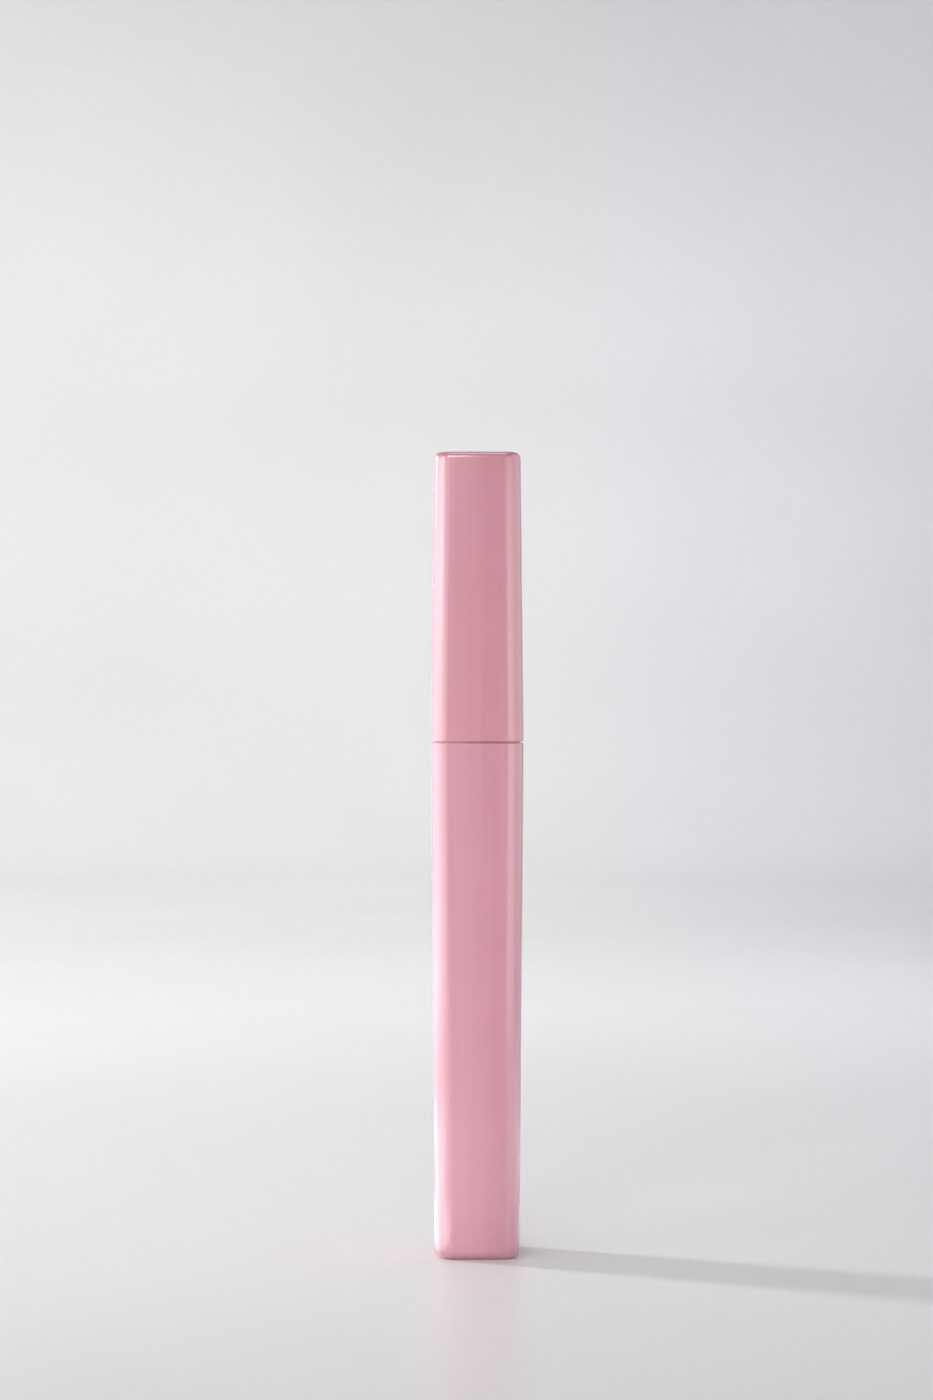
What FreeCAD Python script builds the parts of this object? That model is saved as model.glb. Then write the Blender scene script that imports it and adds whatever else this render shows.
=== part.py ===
import FreeCAD
import Part

import math
import os

# A square mascara tube, closed and standing on its base. Millimetres, +Z up, origin at the base's centre.
# The body holds a weight, an inner bottle with a wiper in its neck, and a collar that keeps the bottle in.
# The cap holds an inner cap with a quarter-turn thread, and the wand with its twisted-wire brush.
# Both halves are narrowest at their closed ends, as moulded shells are, and meet at a fine gap.

# Outline of the closed tube
TOTAL_HEIGHT = 120.0
SEAM_HEIGHT = 76.8            # middle of the gap between body and cap
SEAM_GAP = 0.25
WIDTH_AT_BASE = 12.75
WIDTH_AT_SEAM = 14.0
WIDTH_AT_TOP = 13.1
CORNER_RADIUS = 2.7
SIDE_RADIUS = 80.0            # each side is a gentle arc of this radius across its width
BASE_EDGE_RADIUS = 1.3
TOP_EDGE_RADIUS = 0.9
RIM_EDGE_RADIUS = 0.12        # outer edges of the two rims that meet at the seam
RIM_LIP_INSET = 0.45          # the body's rim has a lip that stands this far back from its outside
RIM_LIP_PLAY = 0.05           # between that lip and the rim of the cap

# Shells
BODY_WALL = 1.2
BODY_FLOOR = 1.6
CAP_WALL = 1.2
CAP_ROOF = 1.5

# Blank label in a round recess under the base
LABEL_RADIUS = 3.8
LABEL_THICKNESS = 0.12
LABEL_DEPTH = 0.23            # its face above the foot of the base
LABEL_CLEARANCE = 0.2

# Clearances
SEAT_CLEARANCE = 0.05         # between parts pressed or snapped together
SLIP_CLEARANCE = 0.15         # between loose-fitting parts of one half
RUNNING_CLEARANCE = 0.15      # between parts that turn in each other

# Snap lugs that hold the collar in the body and the inner cap in the cap
LUG_WIDTH = 3.0
LUG_HEIGHT = 0.7
LUG_DEPTH = 0.3
LUG_ROOT = 1.0                # how far each lug is rooted in its part

# Weight
WEIGHT_HEIGHT = 6.0
WEIGHT_EDGE = 0.4

# Inner bottle
BOTTLE_WALL = 0.8
BOTTLE_FLOOR = 1.0
BOTTLE_INNER_CORNER = 0.5
SHOULDER_RISE = 1.2           # height of the sloping shoulder
SHOULDER_INSET = 0.7
NECK_RADIUS = 4.2
NECK_BORE_RADIUS = 3.4
NECK_RISE = 8.1               # lip of the neck above the seam
LIP_EDGE = 0.15

# Collar
COLLAR_HEIGHT = 4.6
COLLAR_RECESS = 0.1           # top of the collar below the rim of the body
STOP_RING_WALL = 0.55
STOP_RING_HEIGHT = 0.35

# Thread, the same on the neck and in the inner cap
THREAD_STARTS = 4
THREAD_LEAD = 12.0
THREAD_DEPTH = 0.6
THREAD_ROOT = 1.0
THREAD_CREST = 0.6
THREAD_SPAN = 3.4             # rise of each ridge from end to end
THREAD_FOOT = 2.3             # lower end of the neck's ridges above the seam
THREAD_PLAY = 0.12            # along the axis, between the flanks
THREAD_BITE = 0.2             # how deep a ridge is rooted in its wall

# Wiper
WIPER_FLANGE = 0.6
WIPER_FLANGE_RADIUS = 4.1
WIPER_WALL = 0.45
WIPER_LENGTH = 11.0
WIPER_TAPER = 2.8
WIPER_HOLE_RADIUS = 2.05

# Seal washer
WASHER_THICKNESS = 0.8
WASHER_OUTER_RADIUS = 4.6
WASHER_INNER_RADIUS = 3.1
WASHER_GAP = 0.05

# Inner cap
INNER_CAP_RECESS = 0.2        # its foot above the rim of the cap
INNER_CAP_WALL = 0.6
FOOT_PLATE = 1.2
INNER_CAP_ROOF = 1.2
SOCKET_RADIUS = 2.3
SOCKET_WALL = 1.0
SOCKET_DEPTH = 9.5
RIB_THICKNESS = 0.9

# Wand
ROD_RADIUS = 1.95
ROD_END_RADIUS = 1.55
ROD_END_TAPER = 3.0
ROD_END_EDGE = 0.35
PLUG_RADIUS = 2.85
PLUG_LENGTH = 3.0
PLUG_TAPER = 1.8
SHANK_RADIUS = 2.05
SHANK_LENGTH = 9.0
BARB_COUNT = 3
BARB_HEIGHT = 1.4
BARB_PITCH = 2.6

# Brush
BRUSH_LENGTH = 25.0           # from the end of the bristles to the end of the rod
BRUSH_RADIUS = 3.4
BRUSH_TIP_RADIUS = 1.5
BRUSH_HEEL_RADIUS = 2.5
BRUSH_TIP_TAPER = 8.0
BRUSH_HEEL_TAPER = 4.0
BRUSH_CLEAR_OF_ROD = 0.8
BRUSH_ABOVE_BOTTLE_FLOOR = 3.0
STRAND_RADIUS = 0.23
STRAND_GAP = 0.04             # between the two strands
STRAND_TWIST = 2.4            # length of one full twist
WIRE_IN_ROD = 6.5
WIRE_PAST_BRISTLES = 0.5
WIRE_CLEARANCE = 0.04

# Mascara paste, a hair from the bottle's wall and hollow where the brush travels
PASTE_LEVEL = 50.0            # height of its surface above the base
PASTE_POOL = 2.0
PASTE_CLEARANCE = 0.05
PASTE_CHANNEL_RADIUS = 3.75

# Working values: cuts run past a surface by OVERSHOOT, and edges are found within FLATNESS of their height
OVERSHOOT = 1.0
FLATNESS = 0.01

# Levels worked out from the sizes above
BODY_RIM = SEAM_HEIGHT - SEAM_GAP / 2
CAP_RIM = SEAM_HEIGHT + SEAM_GAP / 2
CAP_CEILING = TOTAL_HEIGHT - CAP_ROOF
WEIGHT_TOP = BODY_FLOOR + WEIGHT_HEIGHT
COLLAR_TOP = BODY_RIM - COLLAR_RECESS
COLLAR_FOOT = COLLAR_TOP - COLLAR_HEIGHT
COLLAR_LUGS = (COLLAR_FOOT + COLLAR_TOP) / 2
SHOULDER_FOOT = COLLAR_FOOT - SHOULDER_RISE
NECK_LIP = SEAM_HEIGHT + NECK_RISE
WIPER_TOP = NECK_LIP + WIPER_FLANGE
WIPER_END = WIPER_TOP - WIPER_LENGTH
WASHER_FOOT = WIPER_TOP + WASHER_GAP
INNER_CAP_CEILING = WASHER_FOOT + WASHER_THICKNESS + WASHER_GAP
INNER_CAP_TOP = INNER_CAP_CEILING + INNER_CAP_ROOF
INNER_CAP_FOOT = CAP_RIM + INNER_CAP_RECESS
FOOT_PLATE_TOP = INNER_CAP_FOOT + FOOT_PLATE
INNER_CAP_LUGS = (INNER_CAP_FOOT + FOOT_PLATE_TOP) / 2
CAVITY_FLOOR = WEIGHT_TOP + BOTTLE_FLOOR
BRUSH_END = CAVITY_FLOOR + BRUSH_ABOVE_BOTTLE_FLOOR
ROD_END = BRUSH_END + BRUSH_LENGTH
WIRE_END = BRUSH_END - WIRE_PAST_BRISTLES
WIRE_HEAD = ROD_END + WIRE_IN_ROD

# Radii worked out from the sizes above
BODY_INNER_CORNER = CORNER_RADIUS - BODY_WALL
CAP_INNER_CORNER = CORNER_RADIUS - CAP_WALL
THREAD_CREST_RADIUS = NECK_RADIUS + THREAD_DEPTH
NECK_BASE_RADIUS = THREAD_CREST_RADIUS + SEAT_CLEARANCE
COLLAR_BORE_RADIUS = NECK_BASE_RADIUS + SEAT_CLEARANCE
CAP_BORE_RADIUS = THREAD_CREST_RADIUS + RUNNING_CLEARANCE
WIPER_SLEEVE_RADIUS = NECK_BORE_RADIUS - SEAT_CLEARANCE
STRAND_ORBIT = STRAND_RADIUS + STRAND_GAP / 2
WIRE_RADIUS = STRAND_ORBIT + STRAND_RADIUS

ORIGIN = FreeCAD.Vector(0, 0, 0)
UP = FreeCAD.Vector(0, 0, 1)
QUARTER_TURN = 90
FULL_TURN = 360


def between(low, high, share):
    """The value a share of the way from low to high."""
    return low + (high - low) * share


def body_half(z):
    """Half the width of the body's outside at height z."""
    return between(WIDTH_AT_BASE, WIDTH_AT_SEAM, z / SEAM_HEIGHT) / 2


def cap_half(z):
    """Half the width of the cap's outside at height z."""
    return between(WIDTH_AT_SEAM, WIDTH_AT_TOP, (z - SEAM_HEIGHT) / (TOTAL_HEIGHT - SEAM_HEIGHT)) / 2


def body_inner_half(z):
    """Half the width of the body's inside at height z."""
    return body_half(z) - BODY_WALL


def cap_inner_half(z):
    """Half the width of the cap's inside at height z."""
    return cap_half(z) - CAP_WALL


def turned(point, quarters):
    """A point turned about Z by a number of quarter turns."""
    return FreeCAD.Rotation(UP, QUARTER_TURN * quarters).multVec(point)


def crowned_square(half, corner, z):
    """A square outline with gently arched sides and rounded corners, every arc tangent to the next."""
    back = SIDE_RADIUS - half
    centre = (math.sqrt(2 * (SIDE_RADIUS - corner) ** 2 - back ** 2) - back) / 2
    reach = SIDE_RADIUS / (SIDE_RADIUS - corner)
    right = FreeCAD.Vector(centre * reach, (centre + back) * reach - back, z)
    left = FreeCAD.Vector(-right.x, right.y, z)
    crest = FreeCAD.Vector(0, half, z)
    bend = centre + corner / math.sqrt(2)
    corner_middle = FreeCAD.Vector(-bend, bend, z)
    edges = []
    for quarter in range(4):
        side = [turned(p, quarter) for p in (right, crest, left)]
        turn = [turned(p, quarter) for p in (left, corner_middle)] + [turned(right, quarter + 1)]
        edges += [Part.Arc(*side).toShape(), Part.Arc(*turn).toShape()]
    return Part.Wire(edges)


def flat_square(half, corner, z):
    """A square outline with straight sides and rounded corners."""
    straight = half - corner
    bend = straight + corner / math.sqrt(2)
    right = FreeCAD.Vector(straight, half, z)
    left = FreeCAD.Vector(-straight, half, z)
    corner_middle = FreeCAD.Vector(-bend, bend, z)
    edges = []
    for quarter in range(4):
        turn = [turned(p, quarter) for p in (left, corner_middle)] + [turned(right, quarter + 1)]
        edges += [Part.makeLine(turned(right, quarter), turned(left, quarter)), Part.Arc(*turn).toShape()]
    return Part.Wire(edges)


def block(outline, corner, low, high):
    """A solid between two square outlines. low and high are (half width, height)."""
    wires = [outline(half, corner, z) for half, z in (low, high)]
    return Part.makeLoft(wires, True, True)


def turned_solid(profile):
    """A solid of revolution about Z from (radius, height) points."""
    points = [FreeCAD.Vector(r, 0, z) for r, z in profile]
    return Part.Face(Part.makePolygon(points + points[:1])).revolve(ORIGIN, UP, FULL_TURN)


def cylinder(radius, low, high):
    """A round solid on the Z axis between two heights."""
    return Part.makeCylinder(radius, high - low, FreeCAD.Vector(0, 0, low))


def centred_plate(half_length, thickness, low, high):
    """An upright plate along X, centred on the Z axis, between two heights."""
    plate = Part.makeBox(2 * half_length, thickness, high - low)
    plate.translate(FreeCAD.Vector(-half_length, -thickness / 2, low))
    return plate


def around(shape, count, start=0, sweep=FULL_TURN):
    """Copies of a shape spaced evenly about Z, from the angle start."""
    copies = []
    for k in range(count):
        copy = shape.copy()
        copy.rotate(ORIGIN, UP, start + sweep * k / count)
        copies.append(copy)
    return copies


def joined(shapes):
    """One solid from shapes that overlap or share faces."""
    first, *rest = shapes
    return first.multiFuse(rest).removeSplitter()


def outer_edges_at(shape, z):
    """The edges that lie flat at height z."""
    return [e for e in shape.Edges if max(abs(e.BoundBox.ZMin - z), abs(e.BoundBox.ZMax - z)) < FLATNESS]


def snap_lugs(half, z, grow):
    """Four small blocks on a square part's sides at height z, or, grown all round, their pockets."""
    depth = LUG_DEPTH + grow
    lug = Part.makeBox(LUG_WIDTH + 2 * grow, LUG_ROOT + depth, LUG_HEIGHT + 2 * grow)
    lug.translate(FreeCAD.Vector(-LUG_WIDTH / 2 - grow, half - LUG_ROOT, z - LUG_HEIGHT / 2 - grow))
    return around(lug, 4)


def thread_ridges(wall_radius, direction, foot):
    """The thread's ridges, standing out (direction 1) or in (direction -1) of a round wall."""
    buried = wall_radius - direction * THREAD_BITE
    crest = wall_radius + direction * THREAD_DEPTH
    # the flanks keep their slope down to the buried foot
    flare = (THREAD_ROOT - THREAD_CREST) / 2 * THREAD_BITE / THREAD_DEPTH
    low, high = THREAD_ROOT / 2 + flare, THREAD_CREST / 2
    section = [(buried, foot - low), (crest, foot - high), (crest, foot + high), (buried, foot + low)]
    outline = Part.makePolygon([FreeCAD.Vector(r, 0, z) for r, z in section + section[:1]])
    helix = Part.makeHelix(THREAD_LEAD, THREAD_SPAN, wall_radius)
    helix.translate(FreeCAD.Vector(0, 0, foot))
    ridge = Part.Wire(helix.Edges).makePipeShell([outline], True, True)
    return around(ridge, THREAD_STARTS)


def body_shell():
    """The square outer body: closed at the base, open at the rim."""
    outside = block(crowned_square, CORNER_RADIUS, (body_half(0), 0), (body_half(BODY_RIM), BODY_RIM))
    outside = outside.makeFillet(BASE_EDGE_RADIUS, outer_edges_at(outside, 0))
    outside = outside.makeFillet(RIM_EDGE_RADIUS, outer_edges_at(outside, BODY_RIM))
    above = BODY_RIM + OVERSHOOT
    lip_half, lip_top = body_half(BODY_RIM) - RIM_LIP_INSET, CAP_RIM - RIM_LIP_PLAY
    lip = block(
        crowned_square, CORNER_RADIUS - RIM_LIP_INSET, (lip_half, BODY_RIM - RIM_LIP_INSET), (lip_half, lip_top)
    )
    inside = block(
        flat_square, BODY_INNER_CORNER,
        (body_inner_half(BODY_FLOOR), BODY_FLOOR), (body_inner_half(above), above),
    )
    recess = cylinder(LABEL_RADIUS + LABEL_CLEARANCE, -OVERSHOOT, LABEL_DEPTH + LABEL_THICKNESS)
    pockets = snap_lugs(body_inner_half(COLLAR_LUGS), COLLAR_LUGS, SEAT_CLEARANCE)
    return joined([outside, lip]).cut([inside, recess, *pockets])


def base_label():
    """The blank label stuck in the recess under the base."""
    return cylinder(LABEL_RADIUS, LABEL_DEPTH, LABEL_DEPTH + LABEL_THICKNESS)


def base_weight():
    """The slug that steadies the tube, on the floor of the body."""
    half = body_inner_half(BODY_FLOOR) - SLIP_CLEARANCE
    slug = block(flat_square, BODY_INNER_CORNER, (half, BODY_FLOOR), (half, WEIGHT_TOP))
    return slug.makeChamfer(WEIGHT_EDGE, outer_edges_at(slug, WEIGHT_TOP))


def bottle_form(gap, corner, floor, shoulder):
    """The bottle's square part and sloping shoulder, a gap inside the body's inner wall."""
    low, high = body_inner_half(floor) - gap, body_inner_half(shoulder) - gap
    tube = block(flat_square, corner, (low, floor), (high, shoulder))
    slope = block(flat_square, corner, (high, shoulder), (high - SHOULDER_INSET, shoulder + SHOULDER_RISE))
    return joined([tube, slope])


def inner_bottle():
    """The bottle that holds the mascara, with its threaded neck."""
    cavity_shoulder = SHOULDER_FOOT - BOTTLE_WALL
    outside = bottle_form(SLIP_CLEARANCE, BODY_INNER_CORNER, WEIGHT_TOP, SHOULDER_FOOT)
    inside = bottle_form(SLIP_CLEARANCE + BOTTLE_WALL, BOTTLE_INNER_CORNER, CAVITY_FLOOR, cavity_shoulder)
    neck_base = cylinder(NECK_BASE_RADIUS, SHOULDER_FOOT, COLLAR_TOP)
    neck = cylinder(NECK_RADIUS, SHOULDER_FOOT, NECK_LIP)
    neck = neck.makeChamfer(LIP_EDGE, outer_edges_at(neck, NECK_LIP))
    ridges = thread_ridges(NECK_RADIUS, 1, SEAM_HEIGHT + THREAD_FOOT)
    bore = cylinder(NECK_BORE_RADIUS, cavity_shoulder, NECK_LIP + OVERSHOOT)
    return joined([outside, neck_base, neck, *ridges]).cut([inside, bore])


def collar():
    """The square ring that locks the bottle in the body, with a round stop for the inner cap."""
    plate = block(
        flat_square, BODY_INNER_CORNER,
        (body_inner_half(COLLAR_FOOT) - SEAT_CLEARANCE, COLLAR_FOOT),
        (body_inner_half(COLLAR_TOP) - SEAT_CLEARANCE, COLLAR_TOP),
    )
    stop_top = COLLAR_TOP + STOP_RING_HEIGHT
    stop = cylinder(COLLAR_BORE_RADIUS + STOP_RING_WALL, COLLAR_FOOT, stop_top)
    lugs = snap_lugs(body_inner_half(COLLAR_LUGS), COLLAR_LUGS, 0)
    bore = cylinder(COLLAR_BORE_RADIUS, COLLAR_FOOT - OVERSHOOT, stop_top + OVERSHOOT)
    return joined([plate, stop, *lugs]).cut(bore)


def wiper():
    """The soft sleeve in the neck that strips the brush."""
    outer, inner = WIPER_SLEEVE_RADIUS, WIPER_SLEEVE_RADIUS - WIPER_WALL
    waist = WIPER_END + WIPER_TAPER
    return turned_solid([
        (inner, WIPER_TOP), (WIPER_FLANGE_RADIUS, WIPER_TOP), (WIPER_FLANGE_RADIUS, NECK_LIP),
        (outer, NECK_LIP), (outer, waist), (WIPER_HOLE_RADIUS + WIPER_WALL, WIPER_END),
        (WIPER_HOLE_RADIUS, WIPER_END), (inner, waist),
    ])


def mascara_paste():
    """The mascara, which stands against the bottle's wall around the brush's channel."""
    gap = SLIP_CLEARANCE + BOTTLE_WALL + PASTE_CLEARANCE
    fill = block(
        flat_square, BOTTLE_INNER_CORNER,
        (body_inner_half(CAVITY_FLOOR) - gap, CAVITY_FLOOR),
        (body_inner_half(PASTE_LEVEL) - gap, PASTE_LEVEL),
    )
    return fill.cut(cylinder(PASTE_CHANNEL_RADIUS, CAVITY_FLOOR + PASTE_POOL, PASTE_LEVEL + OVERSHOOT))


def seal_washer():
    """The washer under the inner cap's ceiling, on the wiper. It lifts with the cap but doesn't turn."""
    top = WASHER_FOOT + WASHER_THICKNESS
    hole = cylinder(WASHER_INNER_RADIUS, WASHER_FOOT - OVERSHOOT, top + OVERSHOOT)
    return cylinder(WASHER_OUTER_RADIUS, WASHER_FOOT, top).cut(hole)


def cap_shell():
    """The square outer cap: closed at the top, open at the rim."""
    outside = block(
        crowned_square, CORNER_RADIUS, (cap_half(CAP_RIM), CAP_RIM), (cap_half(TOTAL_HEIGHT), TOTAL_HEIGHT)
    )
    outside = outside.makeFillet(TOP_EDGE_RADIUS, outer_edges_at(outside, TOTAL_HEIGHT))
    outside = outside.makeFillet(RIM_EDGE_RADIUS, outer_edges_at(outside, CAP_RIM))
    below = CAP_RIM - OVERSHOOT
    inside = block(
        flat_square, CAP_INNER_CORNER,
        (cap_inner_half(below), below), (cap_inner_half(CAP_CEILING), CAP_CEILING),
    )
    pockets = snap_lugs(cap_inner_half(INNER_CAP_LUGS), INNER_CAP_LUGS, SEAT_CLEARANCE)
    return outside.cut([inside, *pockets])


def inner_cap_walls():
    """The inner cap without its holes: a square foot, a round tube, the wand's socket, ribs and lugs."""
    foot = block(
        flat_square, CAP_INNER_CORNER,
        (cap_inner_half(INNER_CAP_FOOT) - SEAT_CLEARANCE, INNER_CAP_FOOT),
        (cap_inner_half(FOOT_PLATE_TOP) - SEAT_CLEARANCE, FOOT_PLATE_TOP),
    )
    tube = cylinder(CAP_BORE_RADIUS + INNER_CAP_WALL, INNER_CAP_FOOT, INNER_CAP_TOP)
    socket_top = INNER_CAP_CEILING + SOCKET_DEPTH + SOCKET_WALL
    socket = cylinder(SOCKET_RADIUS + SOCKET_WALL, INNER_CAP_CEILING, socket_top)
    # the cap's walls lean inwards, so ribs that clear them at the ceiling clear them all the way
    reach = cap_inner_half(CAP_CEILING) - SEAT_CLEARANCE
    rib = centred_plate(reach, RIB_THICKNESS, INNER_CAP_CEILING, CAP_CEILING)
    # the corner ribs run into the rounded corners of the cap, as wide as those are at the inner cap's roof
    corner_centre = cap_inner_half(INNER_CAP_TOP) - SEAT_CLEARANCE - CAP_INNER_CORNER
    diagonal = corner_centre * math.sqrt(2) + CAP_INNER_CORNER - SEAT_CLEARANCE
    corner_rib = centred_plate(diagonal, RIB_THICKNESS, FOOT_PLATE_TOP, INNER_CAP_TOP)
    ribs = around(rib, 2, 0, FULL_TURN / 2) + around(corner_rib, 2, QUARTER_TURN / 2, FULL_TURN / 2)
    lugs = snap_lugs(cap_inner_half(INNER_CAP_LUGS), INNER_CAP_LUGS, 0)
    return joined([foot, tube, socket, *ribs, *lugs])


def inner_cap():
    """The threaded inner cap, snapped into the cap. Closing pulls it down by the thread."""
    bore = cylinder(CAP_BORE_RADIUS, INNER_CAP_FOOT - OVERSHOOT, INNER_CAP_CEILING)
    hole = cylinder(SOCKET_RADIUS, INNER_CAP_FOOT, INNER_CAP_CEILING + SOCKET_DEPTH)
    # its ridges lie just under the neck's
    below = (THREAD_ROOT + THREAD_CREST) / 2 + THREAD_PLAY
    ridges = thread_ridges(CAP_BORE_RADIUS, -1, SEAM_HEIGHT + THREAD_FOOT - below)
    return joined([inner_cap_walls().cut([bore, hole]), *ridges])


def wand_rod():
    """The rod: a barbed shank in the socket, a plug that closes the wiper, and the stem to the brush."""
    top = INNER_CAP_CEILING
    profile = [(0, ROD_END), (ROD_END_RADIUS - ROD_END_EDGE, ROD_END)]
    profile += [(ROD_END_RADIUS, ROD_END + ROD_END_EDGE), (ROD_RADIUS, ROD_END + ROD_END_TAPER)]
    profile += [(ROD_RADIUS, top - PLUG_LENGTH - PLUG_TAPER)]
    profile += [(PLUG_RADIUS, top - PLUG_LENGTH), (PLUG_RADIUS, top), (SHANK_RADIUS, top)]
    barb_radius = SOCKET_RADIUS - SEAT_CLEARANCE
    for k in range(BARB_COUNT):
        foot = top + BARB_HEIGHT / 2 + k * BARB_PITCH
        profile += [(SHANK_RADIUS, foot), (barb_radius, foot), (SHANK_RADIUS, foot + BARB_HEIGHT)]
    profile += [(SHANK_RADIUS, top + SHANK_LENGTH), (0, top + SHANK_LENGTH)]
    hole = cylinder(WIRE_RADIUS + WIRE_CLEARANCE, ROD_END - OVERSHOOT, WIRE_HEAD)
    return turned_solid(profile).cut(hole)


def brush_wire():
    """The two strands of the brush's twisted wire core, cut square at both ends."""
    helix = Part.makeHelix(STRAND_TWIST, WIRE_HEAD - WIRE_END + 2 * OVERSHOOT, STRAND_ORBIT)
    start = helix.Edges[0]
    point, tangent = start.valueAt(start.FirstParameter), start.tangentAt(start.FirstParameter)
    section = Part.Wire(Part.makeCircle(STRAND_RADIUS, point, tangent))
    strand = Part.Wire(helix.Edges).makePipeShell([section], True, True)
    strand.translate(FreeCAD.Vector(0, 0, WIRE_END - OVERSHOOT))
    strand = strand.common(cylinder(WIRE_RADIUS + WIRE_CLEARANCE, WIRE_END, WIRE_HEAD))
    return Part.makeCompound(around(strand, 2))


def brush_bristles():
    """The space that the brush's bristles fill, around the wire."""
    hole = WIRE_RADIUS + WIRE_CLEARANCE
    heel = ROD_END - BRUSH_CLEAR_OF_ROD
    return turned_solid([
        (hole, BRUSH_END), (BRUSH_TIP_RADIUS, BRUSH_END), (BRUSH_RADIUS, BRUSH_END + BRUSH_TIP_TAPER),
        (BRUSH_RADIUS, heel - BRUSH_HEEL_TAPER), (BRUSH_HEEL_RADIUS, heel), (hole, heel),
    ])


PIECES = (
    body_shell, base_label, base_weight, inner_bottle, collar, wiper, mascara_paste,
    seal_washer, cap_shell, inner_cap, wand_rod, brush_wire, brush_bristles,
)


def main():
    """Writes one STEP file for each piece."""
    os.makedirs("parts", exist_ok=True)
    for piece in PIECES:
        shape = piece()
        state = "valid" if shape.isValid() else "NOT VALID"
        print(piece.__name__, state, round(shape.Volume, 2), "mm3, solids:", len(shape.Solids))
        shape.exportStep(f"parts/{piece.__name__}.step")


main()
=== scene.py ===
"""Looks of a square mascara tube, fitted round its packed construction.

The tube stands closed on a pale floor: a body that holds the inner bottle, and a cap that carries the wand
and its brush. Pieces are modelled in millimetres in the tube's own frame, +Z up with the origin under the
middle of the base, and each is brought to the scene's metres when it is finished.
"""

import logging
import math
import random
from collections.abc import Callable, Iterator, Sequence
from contextlib import contextmanager
from dataclasses import dataclass, field
from enum import Enum
from functools import cache
from typing import NamedTuple

import bmesh
import bpy
from mathutils import Matrix, Vector, noise


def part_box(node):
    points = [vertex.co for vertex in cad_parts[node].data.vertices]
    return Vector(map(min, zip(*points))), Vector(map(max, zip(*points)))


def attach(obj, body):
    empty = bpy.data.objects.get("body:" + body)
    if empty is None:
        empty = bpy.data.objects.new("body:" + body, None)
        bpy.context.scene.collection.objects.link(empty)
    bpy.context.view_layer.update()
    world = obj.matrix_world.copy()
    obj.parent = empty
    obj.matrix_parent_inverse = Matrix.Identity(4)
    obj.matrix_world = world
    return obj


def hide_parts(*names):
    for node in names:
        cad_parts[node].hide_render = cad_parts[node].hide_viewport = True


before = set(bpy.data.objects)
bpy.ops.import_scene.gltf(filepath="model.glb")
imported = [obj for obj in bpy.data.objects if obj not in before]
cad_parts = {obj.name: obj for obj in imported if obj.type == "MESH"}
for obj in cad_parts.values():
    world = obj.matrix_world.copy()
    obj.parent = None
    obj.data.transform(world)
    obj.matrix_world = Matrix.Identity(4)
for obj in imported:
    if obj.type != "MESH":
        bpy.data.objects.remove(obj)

LOG = logging.getLogger("mascara_tube")

MM = 0.001                    # one millimetre in the scene's metres
FULL_TURN = 2 * math.pi
QUARTER_TURN = math.pi / 2
UP = Vector((0, 0, 1))
SPIN_AXIS = -UP               # spinning turns clockwise about its axis, so this is anticlockwise from above
WELD = 0.0005                 # vertices nearer than this are one vertex, in millimetres
LEVEL = 0.01                  # an edge or face within this of a height lies at that height
PAST = 1.0                    # how far a cutter runs past the surface that it opens
LUG_WIDTH, LUG_HEIGHT, LUG_DEPTH = 3.0, 0.7, 0.3
LUG_EDGE = 0.04
LUG_PLAY = 0.05               # between a lug and its pocket
WHOLE = (0.0, 1.0)            # the range of a share
INVERTED = (1.0, 0.0)
MIDDLE = (0.3, 0.7)           # between these, noise has nearly all its values
SOFT_EDGES = 60.0             # degrees below which the edges of small round pieces are smooth
WHITE = (1.0, 1.0, 1.0)
MIX_INPUTS = (0, 6, 7)        # the mix node's share and its two colours
MIX_RESULT = 2

Colour = tuple[float, float, float]
Place = tuple[float, float, float]
Range = tuple[float, float]


class Rides(Enum):
    """The bodies of the construction that pieces ride on."""

    BOTTLE = "bottle"
    WASHER = "washer"
    CAP = "cap"


class Element(Enum):
    """The kinds of mesh element that a selection is made of."""

    VERTEX = "VERT"
    EDGE = "EDGE"
    FACE = "FACE"


class Cut(Enum):
    """How a second solid changes the first."""

    TAKE_AWAY = "DIFFERENCE"
    JOIN = "UNION"


class Mixing(Enum):
    """How a second colour changes the first."""

    COVER = "MIX"
    TINT = "MULTIPLY"


class Span(NamedTuple):
    """Where a node of the construction lies, in millimetres."""

    half: float
    low: float
    high: float


def node_span(node: str) -> Span:
    """Where a node of the construction lies at rest.

    Args:
        node: The node's name.

    Returns:
        Half its width along X, and its lowest and highest level.
    """
    low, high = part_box(node)
    return Span((high.x - low.x) / 2 / MM, low.z / MM, high.z / MM)


# --------------------------------------------------------------------------------------------------
# Modelling by hand


def only(piece: bpy.types.Object) -> None:
    """Makes a piece the one selected and active object.

    Args:
        piece: The piece.
    """
    bpy.ops.object.select_all(action="DESELECT")
    piece.select_set(True)
    bpy.context.view_layer.objects.active = piece


@contextmanager
def editing(piece: bpy.types.Object) -> Iterator[None]:
    """Edit mode on one piece, left again at the end.

    Args:
        piece: The piece.
    """
    only(piece)
    bpy.ops.object.mode_set(mode="EDIT")
    yield
    bpy.ops.object.mode_set(mode="OBJECT")


def pick(piece: bpy.types.Object, kind: Element, test: Callable[[object], bool]) -> None:
    """Selects the elements of the mesh under edit for which a test holds, and nothing else.

    Args:
        piece: The piece that is in edit mode.
        kind: Vertices, edges or faces.
        test: Says whether one element belongs to the selection.
    """
    bpy.ops.mesh.select_mode(type=kind.value)
    bpy.ops.mesh.select_all(action="DESELECT")
    mesh = bmesh.from_edit_mesh(piece.data)
    elements = {Element.VERTEX: mesh.verts, Element.EDGE: mesh.edges, Element.FACE: mesh.faces}[kind]
    for element in [e for e in elements if test(e)]:
        element.select_set(True)
    bmesh.update_edit_mesh(piece.data)


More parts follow.
